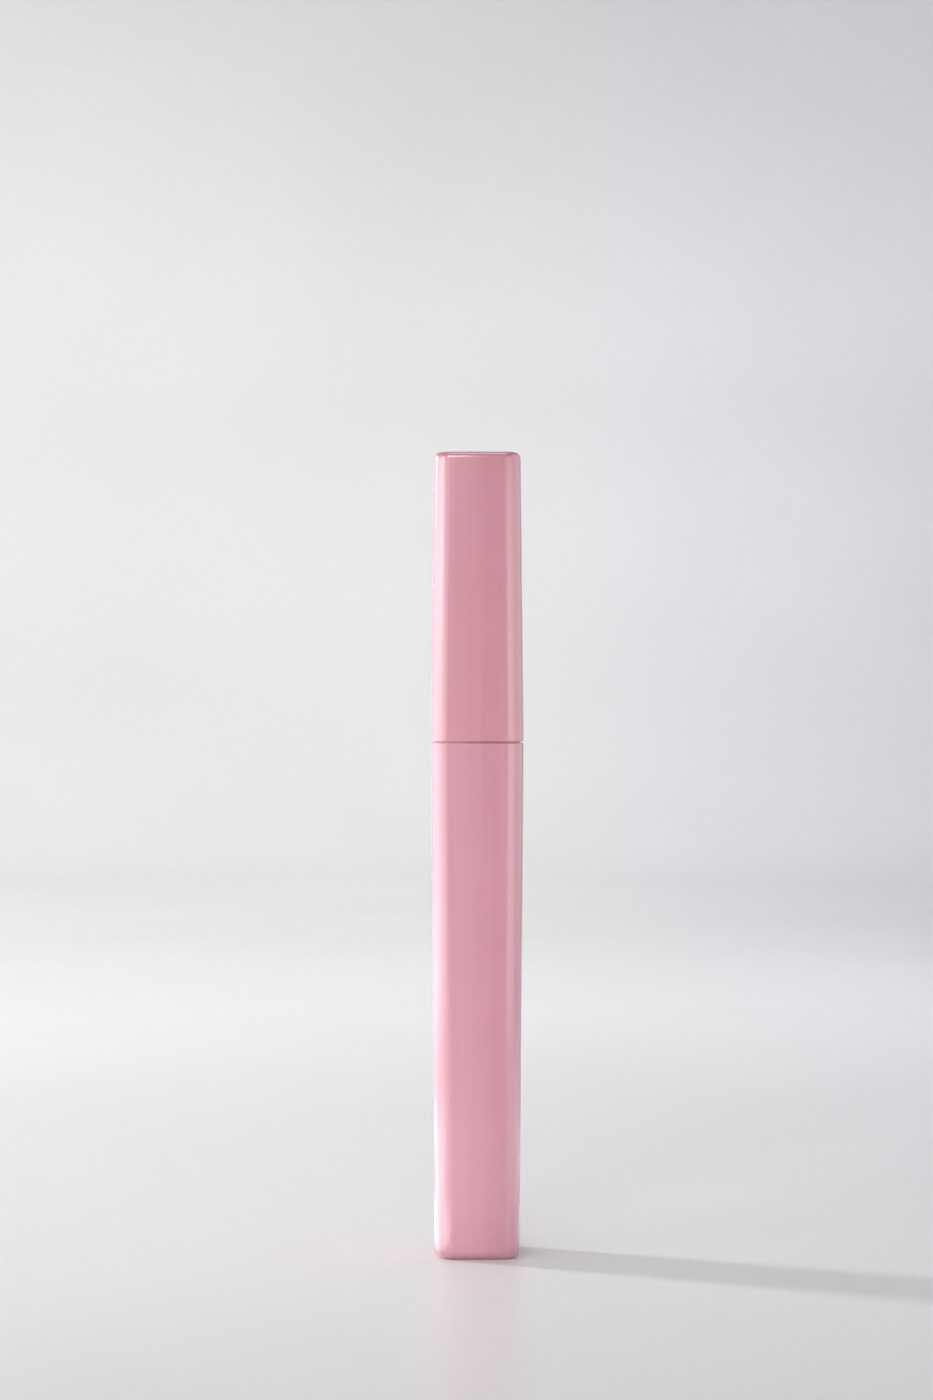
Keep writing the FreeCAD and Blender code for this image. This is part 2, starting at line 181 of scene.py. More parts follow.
def lies_at(height: float) -> Callable[[object], bool]:
    """A test for edges or faces that lie flat at a height."""
    return lambda element: all(abs(v.co.z - height) < LEVEL for v in element.verts)


def stands_upright(edge: bmesh.types.BMEdge) -> bool:
    """Whether an edge runs more up than across."""
    run = edge.verts[1].co - edge.verts[0].co
    return abs(run.z) > math.hypot(run.x, run.y)


def added(name: str) -> bpy.types.Object:
    """The primitive that was just added, under a new name.

    Args:
        name: The new name.

    Returns:
        The primitive.
    """
    piece = bpy.context.view_layer.objects.active
    piece.name = piece.data.name = name
    return piece


def seed() -> None:
    """Adds a single selected vertex at the origin to the mesh under edit."""
    bpy.ops.mesh.primitive_plane_add(size=1)
    bpy.ops.mesh.merge(type="CENTER")


def extrude_by(run: Vector) -> None:
    """Extrudes the selection of the mesh under edit by a distance."""
    bpy.ops.mesh.extrude_region_move(TRANSFORM_OT_translate={"value": run})


def draw_path(path: Sequence[Vector], closed: bool) -> None:
    """Draws a path in the mesh under edit, vertex by vertex.

    Args:
        path: The path's points.
        closed: Whether it ends where it starts.
    """
    bpy.ops.mesh.select_mode(type=Element.VERTEX.value)
    seed()
    bpy.ops.transform.translate(value=path[0])
    for here, there in zip(path, path[1:] + path[:1] if closed else path[1:]):
        extrude_by(there - here)


def spin(steps: int, angle: float, centre: Vector) -> None:
    """Spins the selection of the mesh under edit about an upright axis, anticlockwise from above."""
    bpy.ops.mesh.spin(steps=steps, angle=angle, center=centre, axis=SPIN_AXIS, use_auto_merge=False)


def scale_level(share: float, level: float) -> None:
    """Scales the selection of the mesh under edit towards the axis, at its own level."""
    bpy.ops.transform.resize(value=(share, share, 1), center_override=(0, 0, level))


def empty_piece(name: str) -> bpy.types.Object:
    """A piece with no geometry yet.

    Args:
        name: The piece's name.

    Returns:
        The piece.
    """
    bpy.ops.object.select_all(action="DESELECT")
    bpy.ops.mesh.primitive_plane_add()
    piece = added(name)
    with editing(piece):
        bpy.ops.mesh.select_all(action="SELECT")
        bpy.ops.mesh.delete(type="VERT")
    return piece


def weld(piece: bpy.types.Object) -> None:
    """Merges doubled vertices and turns all faces outwards.

    Args:
        piece: The piece to change.
    """
    with editing(piece):
        bpy.ops.mesh.select_all(action="SELECT")
        bpy.ops.mesh.remove_doubles(threshold=WELD)
        bpy.ops.mesh.normals_make_consistent(inside=False)


def apply_modifier(piece: bpy.types.Object, kind: str, **settings: object) -> None:
    """Adds a modifier to a piece and applies it.

    Args:
        piece: The piece to change.
        kind: The modifier's type.
        **settings: Values for the modifier's own properties.
    """
    only(piece)
    bpy.ops.object.modifier_add(type=kind)
    modifier = piece.modifiers[-1]
    for key, value in settings.items():
        setattr(modifier, key, value)
    bpy.ops.object.modifier_apply(modifier=modifier.name)


def wind_up(piece: bpy.types.Object, turn: float, rise: float, steps: int) -> None:
    """Sweeps an outline up a helix about Z.

    Args:
        piece: The piece that holds the outline.
        turn: The angle that the helix runs through.
        rise: How far it rises.
        steps: Segments along it.
    """
    apply_modifier(
        piece, "SCREW", axis="Z", angle=turn, screw_offset=rise, steps=steps, render_steps=steps,
        use_smooth_shade=False,
    )


def close_ends(piece: bpy.types.Object) -> None:
    """Closes the open ends of a piece.

    Args:
        piece: The piece to change.
    """
    with editing(piece):
        bpy.ops.mesh.select_all(action="SELECT")
        bpy.ops.mesh.fill_holes(sides=0)
    weld(piece)


def combine(piece: bpy.types.Object, other: bpy.types.Object, how: Cut) -> None:
    """Joins a second solid to a piece, or takes it away, and removes the second solid."""
    apply_modifier(piece, "BOOLEAN", operation=how.value, solver="EXACT", object=other)
    bpy.data.meshes.remove(other.data)


def round_edges(piece: bpy.types.Object, test: Callable[[bmesh.types.BMEdge], bool], radius: float,
                steps: int) -> None:
    """Rounds the edges of a piece for which a test holds.

    Args:
        piece: The piece to change.
        test: Says whether an edge is rounded.
        radius: The rounding's radius.
        steps: Segments in the rounding.
    """
    with editing(piece):
        pick(piece, Element.EDGE, test)
        bpy.ops.mesh.bevel(offset=radius, segments=steps, profile=0.5, affect="EDGES", clamp_overlap=True)


def slice_at(piece: bpy.types.Object, heights: Sequence[float]) -> None:
    """Cuts level loops of edges into a piece, which keep its shading true next to a rounded edge.

    Args:
        piece: The piece to change.
        heights: The levels of the loops.
    """
    with editing(piece):
        for height in heights:
            bpy.ops.mesh.select_all(action="SELECT")
            bpy.ops.mesh.bisect(plane_co=(0, 0, height), plane_no=UP)


def hold_flat(piece: bpy.types.Object, height: float, margin: float) -> None:
    """Gives the flat face at a height a narrow border, which keeps its shading true.

    Args:
        piece: The piece to change.
        height: The face's level.
        margin: The border's width.
    """
    with editing(piece):
        pick(piece, Element.FACE, lies_at(height))
        bpy.ops.mesh.inset(thickness=margin, depth=0)


def tapered_block(name: str, low: tuple[float, float], high: tuple[float, float], corner: float,
                  corner_steps: int = 10) -> bpy.types.Object:
    """A block with a square section, upright corners rounded to one radius.

    Args:
        name: The block's name.
        low: Half its width at its foot, and the foot's level.
        high: Half its width at its top, and the top's level.
        corner: Radius of the four upright corners.
        corner_steps: Segments in each corner.

    Returns:
        The block.
    """
    (low_half, foot), (high_half, top) = low, high
    bpy.ops.object.select_all(action="DESELECT")
    bpy.ops.mesh.primitive_cube_add(size=2, location=(0, 0, (foot + top) / 2))
    block = added(name)
    block.scale = (low_half, low_half, (top - foot) / 2)
    bpy.ops.object.transform_apply(location=True, rotation=True, scale=True)
    with editing(block):
        pick(block, Element.FACE, lies_at(top))
        scale_level(high_half / low_half, top)
    round_edges(block, stands_upright, corner, corner_steps)
    return block


def rod_between(name: str, radius: float, low: float, high: float, steps: int = 96) -> bpy.types.Object:
    """A round cutter or boss on the Z axis between two levels.

    Args:
        name: The rod's name.
        radius: Its radius.
        low: The level of its foot.
        high: The level of its top.
        steps: Segments round it.

    Returns:
        The rod.
    """
    bpy.ops.object.select_all(action="DESELECT")
    bpy.ops.mesh.primitive_cylinder_add(
        vertices=steps, radius=radius, depth=high - low, location=(0, 0, (low + high) / 2)
    )
    piece = added(name)
    bpy.ops.object.transform_apply(location=True, rotation=True, scale=True)
    return piece


class Corner(NamedTuple):
    """A corner of a turned profile: its radius from the axis, its level and how far it is rounded."""

    radius: float
    level: float
    rounding: float = 0.0


def rounded_path(corners: Sequence[Corner], steps: int) -> list[Vector]:
    """A profile's points, with an arc at each corner that is rounded.

    Args:
        corners: The profile's corners in order, the ends of an open profile included.
        steps: Segments in each arc.

    Returns:
        Points in the XZ plane.
    """
    points = [Vector((c.radius, 0, c.level)) for c in corners]
    path: list[Vector] = []
    for index, (corner, point) in enumerate(zip(corners, points)):
        before, after = points[index - 1], points[(index + 1) % len(points)]
        into, out = (before - point).normalized(), (after - point).normalized()
        if corner.rounding == 0:
            path.append(point)
            continue
        half_angle = into.angle(out) / 2
        reach = corner.rounding / math.tan(half_angle)
        centre = point + (into + out).normalized() * corner.rounding / math.sin(half_angle)
        start, end = point + into * reach - centre, point + out * reach - centre
        first, last = start.normalized(), end.normalized()
        for k in range(steps + 1):
            path.append(centre + first.slerp(last, k / steps) * corner.rounding)
    return path


def turned_piece(name: str, corners: Sequence[Corner], steps: int = 96, closed: bool = True,
                 arc_steps: int = 5) -> bpy.types.Object:
    """A turned solid, drawn as a profile from a single vertex and spun about Z.

    Args:
        name: The piece's name.
        corners: The profile, from corner to corner.
        steps: Segments round the axis.
        closed: Whether the profile closes on itself. An open one starts and ends on the axis.
        arc_steps: Segments in each rounded corner of the profile.

    Returns:
        The turned piece.
    """
    piece = empty_piece(name)
    with editing(piece):
        draw_path(rounded_path(corners, arc_steps), closed)
        bpy.ops.mesh.select_all(action="SELECT")
        spin(steps, FULL_TURN, Vector())
    weld(piece)
    return piece


def copies_round(piece: bpy.types.Object, count: int, turn: float = FULL_TURN) -> list[bpy.types.Object]:
    """Copies of a piece, each with its own mesh, spaced evenly about Z.

    Args:
        piece: The first of them.
        count: How many there are in all.
        turn: The angle that they share out.

    Returns:
        The piece and its copies.
    """
    made = [piece]
    for k in range(1, count):
        only(piece)
        bpy.ops.object.duplicate()
        copy = bpy.context.view_layer.objects.active
        copy.data.transform(Matrix.Rotation(turn * k / count, 4, UP))
        made.append(copy)
    return made


def finish(piece: bpy.types.Object, smooth_angle: float = 32.0) -> None:
    """Brings a piece to metres, with its place in its mesh, and smooths its shading.

    Args:
        piece: The piece, modelled in millimetres.
        smooth_angle: Edges sharper than this many degrees stay sharp.
    """
    only(piece)
    piece.scale = (MM, MM, MM)
    bpy.ops.object.transform_apply(location=True, rotation=True, scale=True)
    bpy.ops.object.shade_smooth_by_angle(angle=math.radians(smooth_angle))


# --------------------------------------------------------------------------------------------------
# Finishes


class Graph:
    """The node tree of one new material, with short calls for what the finishes share."""

    NOISE_ROUGHNESS = 0.55

    def __init__(self, name: str) -> None:
        """Starts a material that holds a shader and the object's own coordinates.

        Args:
            name: The material's name.
        """
        self.material = bpy.data.materials.new(name)
        self.material.use_nodes = True
        self.tree = self.material.node_tree
        self.shader = self.tree.nodes["Principled BSDF"]
        self.place = self.node("ShaderNodeTexCoord").outputs["Object"]

    def node(self, kind: str, inputs: dict[str | int, object] | None = None,
             **settings: object) -> bpy.types.Node:
        """Adds a node.

        Args:
            kind: The node's type.
            inputs: What goes into its inputs, each a value or another node's output.
            **settings: Values for the node's own properties.

        Returns:
            The node.
        """
        node = self.tree.nodes.new(kind)
        for key, value in settings.items():
            setattr(node, key, value)
        for key, value in (inputs or {}).items():
            self.feed(node.inputs[key], value)
        return node

    def feed(self, socket: bpy.types.NodeSocket, value: object) -> None:
        """Puts a value or another node's output into an input.

        Args:
            socket: The input.
            value: What goes into it.
        """
        if isinstance(value, bpy.types.NodeSocket):
            self.tree.links.new(value, socket)
        else:
            socket.default_value = value

    def stretched(self, scale: tuple[float, float, float]) -> bpy.types.NodeSocket:
        """The object's coordinates, scaled along each axis."""
        return self.node("ShaderNodeMapping", {"Vector": self.place, "Scale": scale}).outputs["Vector"]

    def grain(self, size: float, detail: float = 3.0, along: float = 1.0) -> bpy.types.NodeSocket:
        """Noise whose grains are a size in millimetres, drawn out along Z.

        Args:
            size: Width of a grain in millimetres.
            detail: How many finer layers lie on it.
            along: How many times longer than wide a grain is.

        Returns:
            The noise, from 0 to 1.
        """
        place = self.stretched((1, 1, 1 / along))
        scale = 1 / (size * MM)
        inputs = {"Vector": place, "Scale": scale, "Detail": detail, "Roughness": self.NOISE_ROUGHNESS}
        return self.node("ShaderNodeTexNoise", inputs).outputs["Fac"]

    def cells(self, size: float, output: str) -> bpy.types.NodeSocket:
        """One output of a pattern of irregular cells, whose size is in millimetres."""
        inputs = {"Vector": self.place, "Scale": 1 / (size * MM)}
        return self.node("ShaderNodeTexVoronoi", inputs).outputs[output]

    def ranged(self, value: bpy.types.NodeSocket, to: Range, out_of: Range = WHOLE) -> bpy.types.NodeSocket:
        """A value brought from one range into another, and kept inside it.

        Args:
            value: The value.
            to: The range that it is brought into.
            out_of: The range that it comes from.

        Returns:
            The value in its new range.
        """
        (low, high), (start, end) = to, out_of
        inputs = {"Value": value, "From Min": start, "From Max": end, "To Min": low, "To Max": high}
        return self.node("ShaderNodeMapRange", inputs, clamp=True).outputs["Result"]

    def blend(self, share: object, first: object, second: object,
              how: Mixing = Mixing.COVER) -> bpy.types.NodeSocket:
        """A colour between two others, or the first one tinted by the second.

        Args:
            share: How far the second colour changes the first, from 0 to 1.
            first: The first colour.
            second: The second colour.
            how: How the second changes the first.

        Returns:
            The colour.
        """
        node = self.node("ShaderNodeMix", data_type="RGBA", blend_type=how.value)
        for index, value in zip(MIX_INPUTS, (share, first, second)):
            self.feed(node.inputs[index], with_alpha(value))
        return node.outputs[MIX_RESULT]

    def maths(self, operation: str, first: object, second: object) -> bpy.types.NodeSocket:
        """The result of one sum on two numbers."""
        return self.node("ShaderNodeMath", {0: first, 1: second}, operation=operation).outputs["Value"]

    def relief(self, height: bpy.types.NodeSocket, depth: float,
               under: bpy.types.NodeSocket | None = None) -> bpy.types.NodeSocket:
        """A bumped normal.

        Args:
            height: The relief, from 0 to 1.
            depth: How deep it is, in millimetres.
            under: A normal that this relief lies on.

        Returns:
            The normal.
        """
        inputs = {"Height": height, "Strength": 1.0, "Distance": depth * MM}
        if under is not None:
            inputs["Normal"] = under
        return self.node("ShaderNodeBump", inputs).outputs["Normal"]

    def off_axis(self) -> bpy.types.NodeSocket:
        """Distance from the tube's axis, in millimetres."""
        flat = self.stretched((1 / MM, 1 / MM, 0))
        return self.node("ShaderNodeVectorMath", {0: flat}, operation="LENGTH").outputs["Value"]

    def level(self) -> bpy.types.NodeSocket:
        """Height above the floor at rest, in millimetres."""
        parts = self.node("ShaderNodeSeparateXYZ", {"Vector": self.stretched((1, 1, 1 / MM))})
        return parts.outputs["Z"]

    def set_shader(self, **inputs: object) -> None:
        """Sets the shader's inputs, named with underscores for spaces.

        Args:
            **inputs: What goes into each input.
        """
        for key, value in inputs.items():
            name = key.replace("_", " ")
            self.feed(self.shader.inputs[name], with_alpha(value) if name == "Base Color" else value)


def around(middle: float, reach: float) -> Range:
    """The range that reaches as far below a value as above it."""
    return middle - reach, middle + reach


def with_alpha(colour: object) -> object:
    """A colour with full opacity, where it is plain numbers."""
    return (*colour, 1.0) if isinstance(colour, tuple) and len(colour) == 3 else colour


class Finish:
    """What every finish shares: a name, and one material made when it is first needed."""

    name: str

    @cache
    def material(self) -> bpy.types.Material:
        """The finish as a material, which is made once."""
        return self.build()

    def build(self) -> bpy.types.Material:
        """Makes the material."""
        raise NotImplementedError


@dataclass(frozen=True)
class GlossyMoulding(Finish):
    """Glossy opaque plastic with faint flow lines along the tube, light hairline wear and a little haze."""

    name: str
    colour: Colour
    deep: Colour
    roughness: Range = (0.14, 0.20)
    flow_width: float = 2.6
    flow_length: float = 60.0
    cloud_size: float = 14.0
    least_cloud: float = 0.35
    wave_width: float = 4.16
    wave_depth: float = 0.004
    haze_size: float = 5.0
    haze_height: Range = (0.3, 0.75)
    hairline_width: float = 0.09
    hairline_height: Range = (0.62, 0.8)
    hairline_depth: float = 0.0006
    hairline_dullness: float = 0.06
    peel_size: float = 0.7
    peel_depth: float = 0.0003
    index: float = 1.6
    coat_index: float = 1.9
    coat_roughness: float = 0.2
    sheen: float = 0.3
    sheen_roughness: float = 0.35
    glow: float = 0.12
    glow_radius: Colour = (1.0, 0.45, 0.5)
    glow_depth: float = 0.9

    def build(self) -> bpy.types.Material:
        """Makes the material.

        Returns:
            The material.
        """
        graph = Graph(self.name)
        flow = graph.ranged(graph.grain(self.flow_width, detail=2.0, along=self.flow_length), WHOLE, MIDDLE)
        cloud = graph.ranged(graph.grain(self.cloud_size), (self.least_cloud, 1), MIDDLE)
        tint = graph.maths("MULTIPLY", flow, cloud)
        haze = graph.ranged(graph.grain(self.haze_size, detail=5.0), self.roughness, self.haze_height)
        scratch = graph.grain(self.hairline_width, detail=2.0, along=self.flow_length)
        hairline = graph.ranged(scratch, WHOLE, self.hairline_height)
        waves = graph.grain(self.wave_width, detail=1.0, along=self.flow_length)
        peel = graph.grain(self.peel_size, detail=2.0)
        faint = graph.relief(peel, self.peel_depth, graph.relief(waves, self.wave_depth))
        graph.set_shader(
            Base_Color=graph.blend(tint, self.colour, self.deep),
            Roughness=graph.maths("ADD", haze, graph.maths("MULTIPLY", hairline, self.hairline_dullness)),
            IOR=self.index,
            Coat_Weight=1.0,
            Coat_Roughness=self.coat_roughness,
            Coat_IOR=self.coat_index,
            Sheen_Weight=self.sheen,
            Sheen_Roughness=self.sheen_roughness,
            Subsurface_Weight=self.glow,
            Subsurface_Radius=self.glow_radius,
            Subsurface_Scale=self.glow_depth * MM,
            Normal=graph.relief(hairline, self.hairline_depth, faint),
        )
        return graph.material


@dataclass(frozen=True)
class NaturalPlastic(Finish):
    """Milky plastic that light passes into, with fine moulding grain and mascara smudges near its mouth."""

    name: str
    colour: Colour = (0.86, 0.84, 0.80)
    shade: Colour = (0.7568, 0.7392, 0.704)
    roughness: Range = (0.29, 0.42)
    grain_size: float = 0.5
    grain_depth: float = 0.0016
    cloud_size: float = 3.0
    smudge_radius: float = 0.0
    smudge: Colour = (0.012, 0.010, 0.010)
    smudge_size: float = 0.8
    smudge_reach: float = 0.7
    smudge_edge: float = 0.15
    smudge_gloss: float = 0.16
    index: float = 1.5
    glow: float = 0.45
    glow_radius: Colour = (1.0, 0.9, 0.8)
    glow_depth: float = 1.6

    def build(self) -> bpy.types.Material:
        """Makes the material.

        Returns:
            The material.
        """
        graph = Graph(self.name)
        grain = graph.grain(self.grain_size, detail=4.0)
        cloud = graph.ranged(graph.grain(self.cloud_size), WHOLE, MIDDLE)
        colour = graph.blend(cloud, self.colour, self.shade)
        roughness = graph.ranged(grain, self.roughness, MIDDLE)
        if self.smudge_radius:
            fringe = graph.ranged(graph.grain(self.smudge_size, detail=4.0), around(0, self.smudge_reach))
            ragged = graph.maths("ADD", graph.off_axis(), fringe)
            wet = graph.ranged(ragged, INVERTED, around(self.smudge_radius, self.smudge_edge))
            colour = graph.blend(wet, colour, self.smudge)
            roughness = graph.maths("SUBTRACT", roughness, graph.maths("MULTIPLY", wet, self.smudge_gloss))
        graph.set_shader(
            Base_Color=colour,
            Roughness=roughness,
            IOR=self.index,
            Subsurface_Weight=self.glow,
            Subsurface_Radius=self.glow_radius,
            Subsurface_Scale=self.glow_depth * MM,
            Normal=graph.relief(grain, self.grain_depth),
        )
        return graph.material


@dataclass(frozen=True)
class CoatedRod(Finish):
    """Black moulded plastic, coated below a level with a streaked film of mascara."""

    name: str
    coat_level: float
    colour: Colour = (0.020, 0.019, 0.020)
    film: Colour = (0.006, 0.005, 0.005)
    roughness: Range = (0.32, 0.16)
    streak_width: float = 0.45
    streak_length: float = 9.0
    streak_reach: float = 16.0
    film_edge: float = 0.8
    grain_size: float = 0.25
    grain_depth: float = 0.0012
    lump_size: float = 0.5
    lump_depth: float = 0.06
    index: float = 1.5

    def build(self) -> bpy.types.Material:
        """Makes the material.

        Returns:
            The material.
        """
        graph = Graph(self.name)
        streak = graph.grain(self.streak_width, detail=4.0, along=self.streak_length)
        streaks = graph.ranged(streak, around(0, self.streak_reach), MIDDLE)
        reach = graph.maths("ADD", graph.level(), streaks)
        coated = graph.ranged(reach, INVERTED, around(self.coat_level, self.film_edge))
        grain = graph.relief(graph.grain(self.grain_size), self.grain_depth)
        lumps = graph.maths("MULTIPLY", coated, graph.grain(self.lump_size, detail=4.0, along=3.0))
        graph.set_shader(
            Base_Color=graph.blend(coated, self.colour, self.film),
            Roughness=graph.ranged(coated, self.roughness),
            IOR=self.index,
            Normal=graph.relief(lumps, self.lump_depth, grain),
        )
        return graph.material


@dataclass(frozen=True)
class WetPaste(Finish):
    """Black mascara: a thick wet paste with soft ripples and drier patches."""

    name: str
    colour: Colour = (0.006, 0.005, 0.005)
    sheen: Colour = (0.018, 0.015, 0.015)
    roughness: Range = (0.14, 0.34)
    patch_size: float = 1.2
    patch_height: Range = (0.35, 0.7)
    ripple_size: float = 0.6
    ripple_depth: float = 0.05
    index: float = 1.45

    def build(self) -> bpy.types.Material:
        """Makes the material.

        Returns:
            The material.
        """
        graph = Graph(self.name)
        patches = graph.ranged(graph.grain(self.patch_size, detail=4.0), WHOLE, self.patch_height)
        graph.set_shader(
            Base_Color=graph.blend(patches, self.colour, self.sheen),
            Roughness=graph.ranged(patches, self.roughness),
            IOR=self.index,
            Normal=graph.relief(graph.grain(self.ripple_size, detail=4.0), self.ripple_depth),
        )
        return graph.material


@dataclass(frozen=True)
class Nylon(Finish):
    """Black nylon fibre, coated with mascara near the wire and clean at its tips."""

    name: str
    coated_radius: float
    fibre: Colour = (0.022, 0.020, 0.021)
    paste: Colour = (0.006, 0.005, 0.005)
    roughness: Range = (0.42, 0.18)
    clump_size: float = 1.5
    clump_reach: float = 0.7
    coat_edge: float = 0.3
    grain_size: float = 0.12
    grain_depth: float = 0.004
    index: float = 1.53

    def build(self) -> bpy.types.Material:
        """Makes the material.

        Returns:
            The material.
        """
        graph = Graph(self.name)
        clumps = graph.ranged(graph.grain(self.clump_size), around(0, self.clump_reach), MIDDLE)
        ragged = graph.maths("ADD", graph.off_axis(), clumps)
        coated = graph.ranged(ragged, INVERTED, around(self.coated_radius, self.coat_edge))
        graph.set_shader(
            Base_Color=graph.blend(coated, self.fibre, self.paste),
            Roughness=graph.ranged(coated, self.roughness),
            IOR=self.index,
            Normal=graph.relief(graph.grain(self.grain_size, detail=2.0), self.grain_depth),
        )
        return graph.material


@dataclass(frozen=True)
class Steel(Finish):
    """Bright steel with drawn lines along it and a scatter of duller patches."""

    name: str
    bright: Colour = (0.66, 0.66, 0.68)
    dull: Colour = (0.47, 0.47, 0.48)
    roughness: Range = (0.22, 0.42)
    line_width: float = 0.06
    line_length: float = 30.0
    line_depth: float = 0.002
    patch_size: float = 1.6

    def build(self) -> bpy.types.Material:
        """Makes the material.

        Returns:
            The material.
        """
        graph = Graph(self.name)
        lines = graph.grain(self.line_width, along=self.line_length)
        cells = graph.cells(self.patch_size, "Color")
        patches = graph.node("ShaderNodeRGBToBW", {"Color": cells}).outputs["Val"]
        graph.set_shader(
            Base_Color=graph.blend(graph.ranged(patches, WHOLE), self.bright, self.dull),
            Metallic=1.0,
            Roughness=graph.ranged(lines, self.roughness, MIDDLE),
            Normal=graph.relief(lines, self.line_depth),
        )
        return graph.material


@dataclass(frozen=True)
class Foam(Finish):
    """White closed-cell foam sheet with fine cells."""

    name: str
    colour: Colour = (0.82, 0.82, 0.80)
    shade: Colour = (0.62, 0.61, 0.59)
    roughness: Range = (0.6, 0.8)
    cell_size: float = 0.16
    cell_height: Range = (0.0, 0.6)
    cell_depth: float = 0.03
    grain_size: float = 0.4
    index: float = 1.45
    glow: float = 0.3
    glow_depth: float = 0.4

    def build(self) -> bpy.types.Material:
        """Makes the material.

        Returns:
            The material.
        """
        graph = Graph(self.name)
        cells = graph.cells(self.cell_size, "Distance")
        shaded = graph.ranged(cells, WHOLE, self.cell_height)
        graph.set_shader(
            Base_Color=graph.blend(shaded, self.colour, self.shade),
            Roughness=graph.ranged(graph.grain(self.grain_size), self.roughness, MIDDLE),
            IOR=self.index,
            Subsurface_Weight=self.glow,
            Subsurface_Radius=(1.0, 1.0, 1.0),
            Subsurface_Scale=self.glow_depth * MM,
            Normal=graph.relief(cells, self.cell_depth),
        )
        return graph.material


@dataclass(frozen=True)
class PaperLabel(Finish):
    """Blank coated paper with faint fibres and a satin face."""

    name: str
    colour: Colour = (0.84, 0.83, 0.81)
    fibre: Colour = (0.76, 0.75, 0.72)
    roughness: Range = (0.42, 0.58)
    fibre_size: float = 0.5
    fibre_height: Range = (0.35, 0.7)
    fibre_stretch: float = 5.0
    fibre_depth: float = 0.004
    index: float = 1.47

    def build(self) -> bpy.types.Material:
        """Makes the material.

        Returns:
            The material.
        """
        graph = Graph(self.name)
        place = graph.stretched((1, self.fibre_stretch, 1))
        fibres = graph.node(
            "ShaderNodeTexNoise", {"Vector": place, "Scale": 1 / (self.fibre_size * MM), "Detail": 5.0}
        ).outputs["Fac"]
        shown = graph.ranged(fibres, WHOLE, self.fibre_height)
        graph.set_shader(
            Base_Color=graph.blend(shown, self.colour, self.fibre),
            Roughness=graph.ranged(fibres, self.roughness, MIDDLE),
            IOR=self.index,
            Normal=graph.relief(fibres, self.fibre_depth),
        )
        return graph.material


@dataclass(frozen=True)
class PaleSheet(Finish):
    """The studio's pale sheet: a matt board with a faint gloss, with painted shade that tints it cooler to
    the right and darker high up.
    """

    name: str = "pale_sheet"
    colour: Colour = (0.83, 0.83, 0.83)
    worn: Colour = (0.80, 0.80, 0.80)
    # painted shade: a cool tint towards the right and a darker tone high up, where less light reaches the
    # sheet
    painted_cool_shade: Colour = (0.985, 0.975, 1.015)
    painted_cool_shade_stretch: Range = (0.0, 0.12)
    painted_high_shade: Colour = (0.965, 0.965, 0.965)
    painted_high_shade_stretch: Range = (0.2, 0.47)
    cloud_size: float = 160.0
    haze_size: float = 40.0
    roughness: Range = (0.33, 0.39)
    index: float = 1.45

    def build(self) -> bpy.types.Material:
        """Makes the material.

        Returns:
            The material.
        """
        graph = Graph(self.name)
        places = graph.node("ShaderNodeSeparateXYZ", {"Vector": graph.place}).outputs
        cloud = graph.ranged(graph.grain(self.cloud_size), WHOLE, MIDDLE)
        tone = graph.blend(cloud, self.colour, self.worn)
        # painted shade: the sheet's tone is tinted cooler towards the right and darker high up
        for axis, stretch, tint in (("X", self.painted_cool_shade_stretch, self.painted_cool_shade), ("Z", self.painted_high_shade_stretch, self.painted_high_shade)):
            share = graph.ranged(places[axis], WHOLE, stretch)
            tone = graph.blend(1.0, tone, graph.blend(share, WHITE, tint), Mixing.TINT)
        graph.set_shader(
            Base_Color=tone,
            Roughness=graph.ranged(graph.grain(self.haze_size), self.roughness),
            IOR=self.index,
        )
        return graph.material


PINK_BODY = GlossyMoulding("pink_moulding", (0.664, 0.287, 0.360), (0.603, 0.237, 0.304))
PINK_CAP = GlossyMoulding("pink_cap_moulding", (0.665, 0.278, 0.346), (0.597, 0.224, 0.286))
ROSE_INSIDE = GlossyMoulding(
    "rose_inner_moulding", (0.60, 0.19, 0.24), (0.54, 0.15, 0.20), roughness=(0.22, 0.32)
)
NATURAL = NaturalPlastic("natural_plastic")


# --------------------------------------------------------------------------------------------------
# Sub-assemblies


@dataclass
class SubAssembly:
    """What every sub-assembly shares: the body that its pieces ride on, and how they are handed over."""

    rides: Rides

    def hand_over(self, piece: bpy.types.Object, slot: str, look: Finish,
                  stands_for: Sequence[str] = ()) -> None:
        """Finishes a piece's place in the model.

        Args:
            piece: The piece, in metres.
            slot: A material slot of the record; not used.
            look: The finish that dresses it.
            stands_for: The nodes of the construction that it stands for.
        """
        piece.data.materials.clear()
        piece.data.materials.append(look.material())
        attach(piece, self.rides.value)
        if stands_for:
            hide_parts(*stands_for)
        LOG.info("%s: %d faces, rides on %s", piece.name, len(piece.data.polygons), self.rides.value)

    def dress(self, node: str, look: Finish) -> None:
        """Gives a node of the construction its finish, and leaves its shape alone.

        Args:
            node: The node's name.
            look: The finish that dresses it.
        """
        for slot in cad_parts[node].material_slots:
            slot.material = look.material()
        LOG.info("%s: keeps its shape, rides on %s", node, self.rides.value)


def lugs(half: float, level: float, play: float = 0.0) -> list[bpy.types.Object]:
    """The four snap lugs on the sides of a square inner part, or with play the pockets for them.

    Args:
        half: Half the width of the square that they stand on.
        level: The level of their middle.
        play: How much larger they are on every side.

    Returns:
        The lugs, half of each sunk into the square.
    """
    bpy.ops.object.select_all(action="DESELECT")
    bpy.ops.mesh.primitive_cube_add(size=1, location=(half, 0, level))
    lug = added("lug")
    lug.scale = (2 * (LUG_DEPTH + play), LUG_WIDTH + 2 * play, LUG_HEIGHT + 2 * play)
    bpy.ops.object.transform_apply(location=True, rotation=True, scale=True)
    round_edges(lug, lambda edge: True, LUG_EDGE, steps=2)
    return copies_round(lug, count=4)


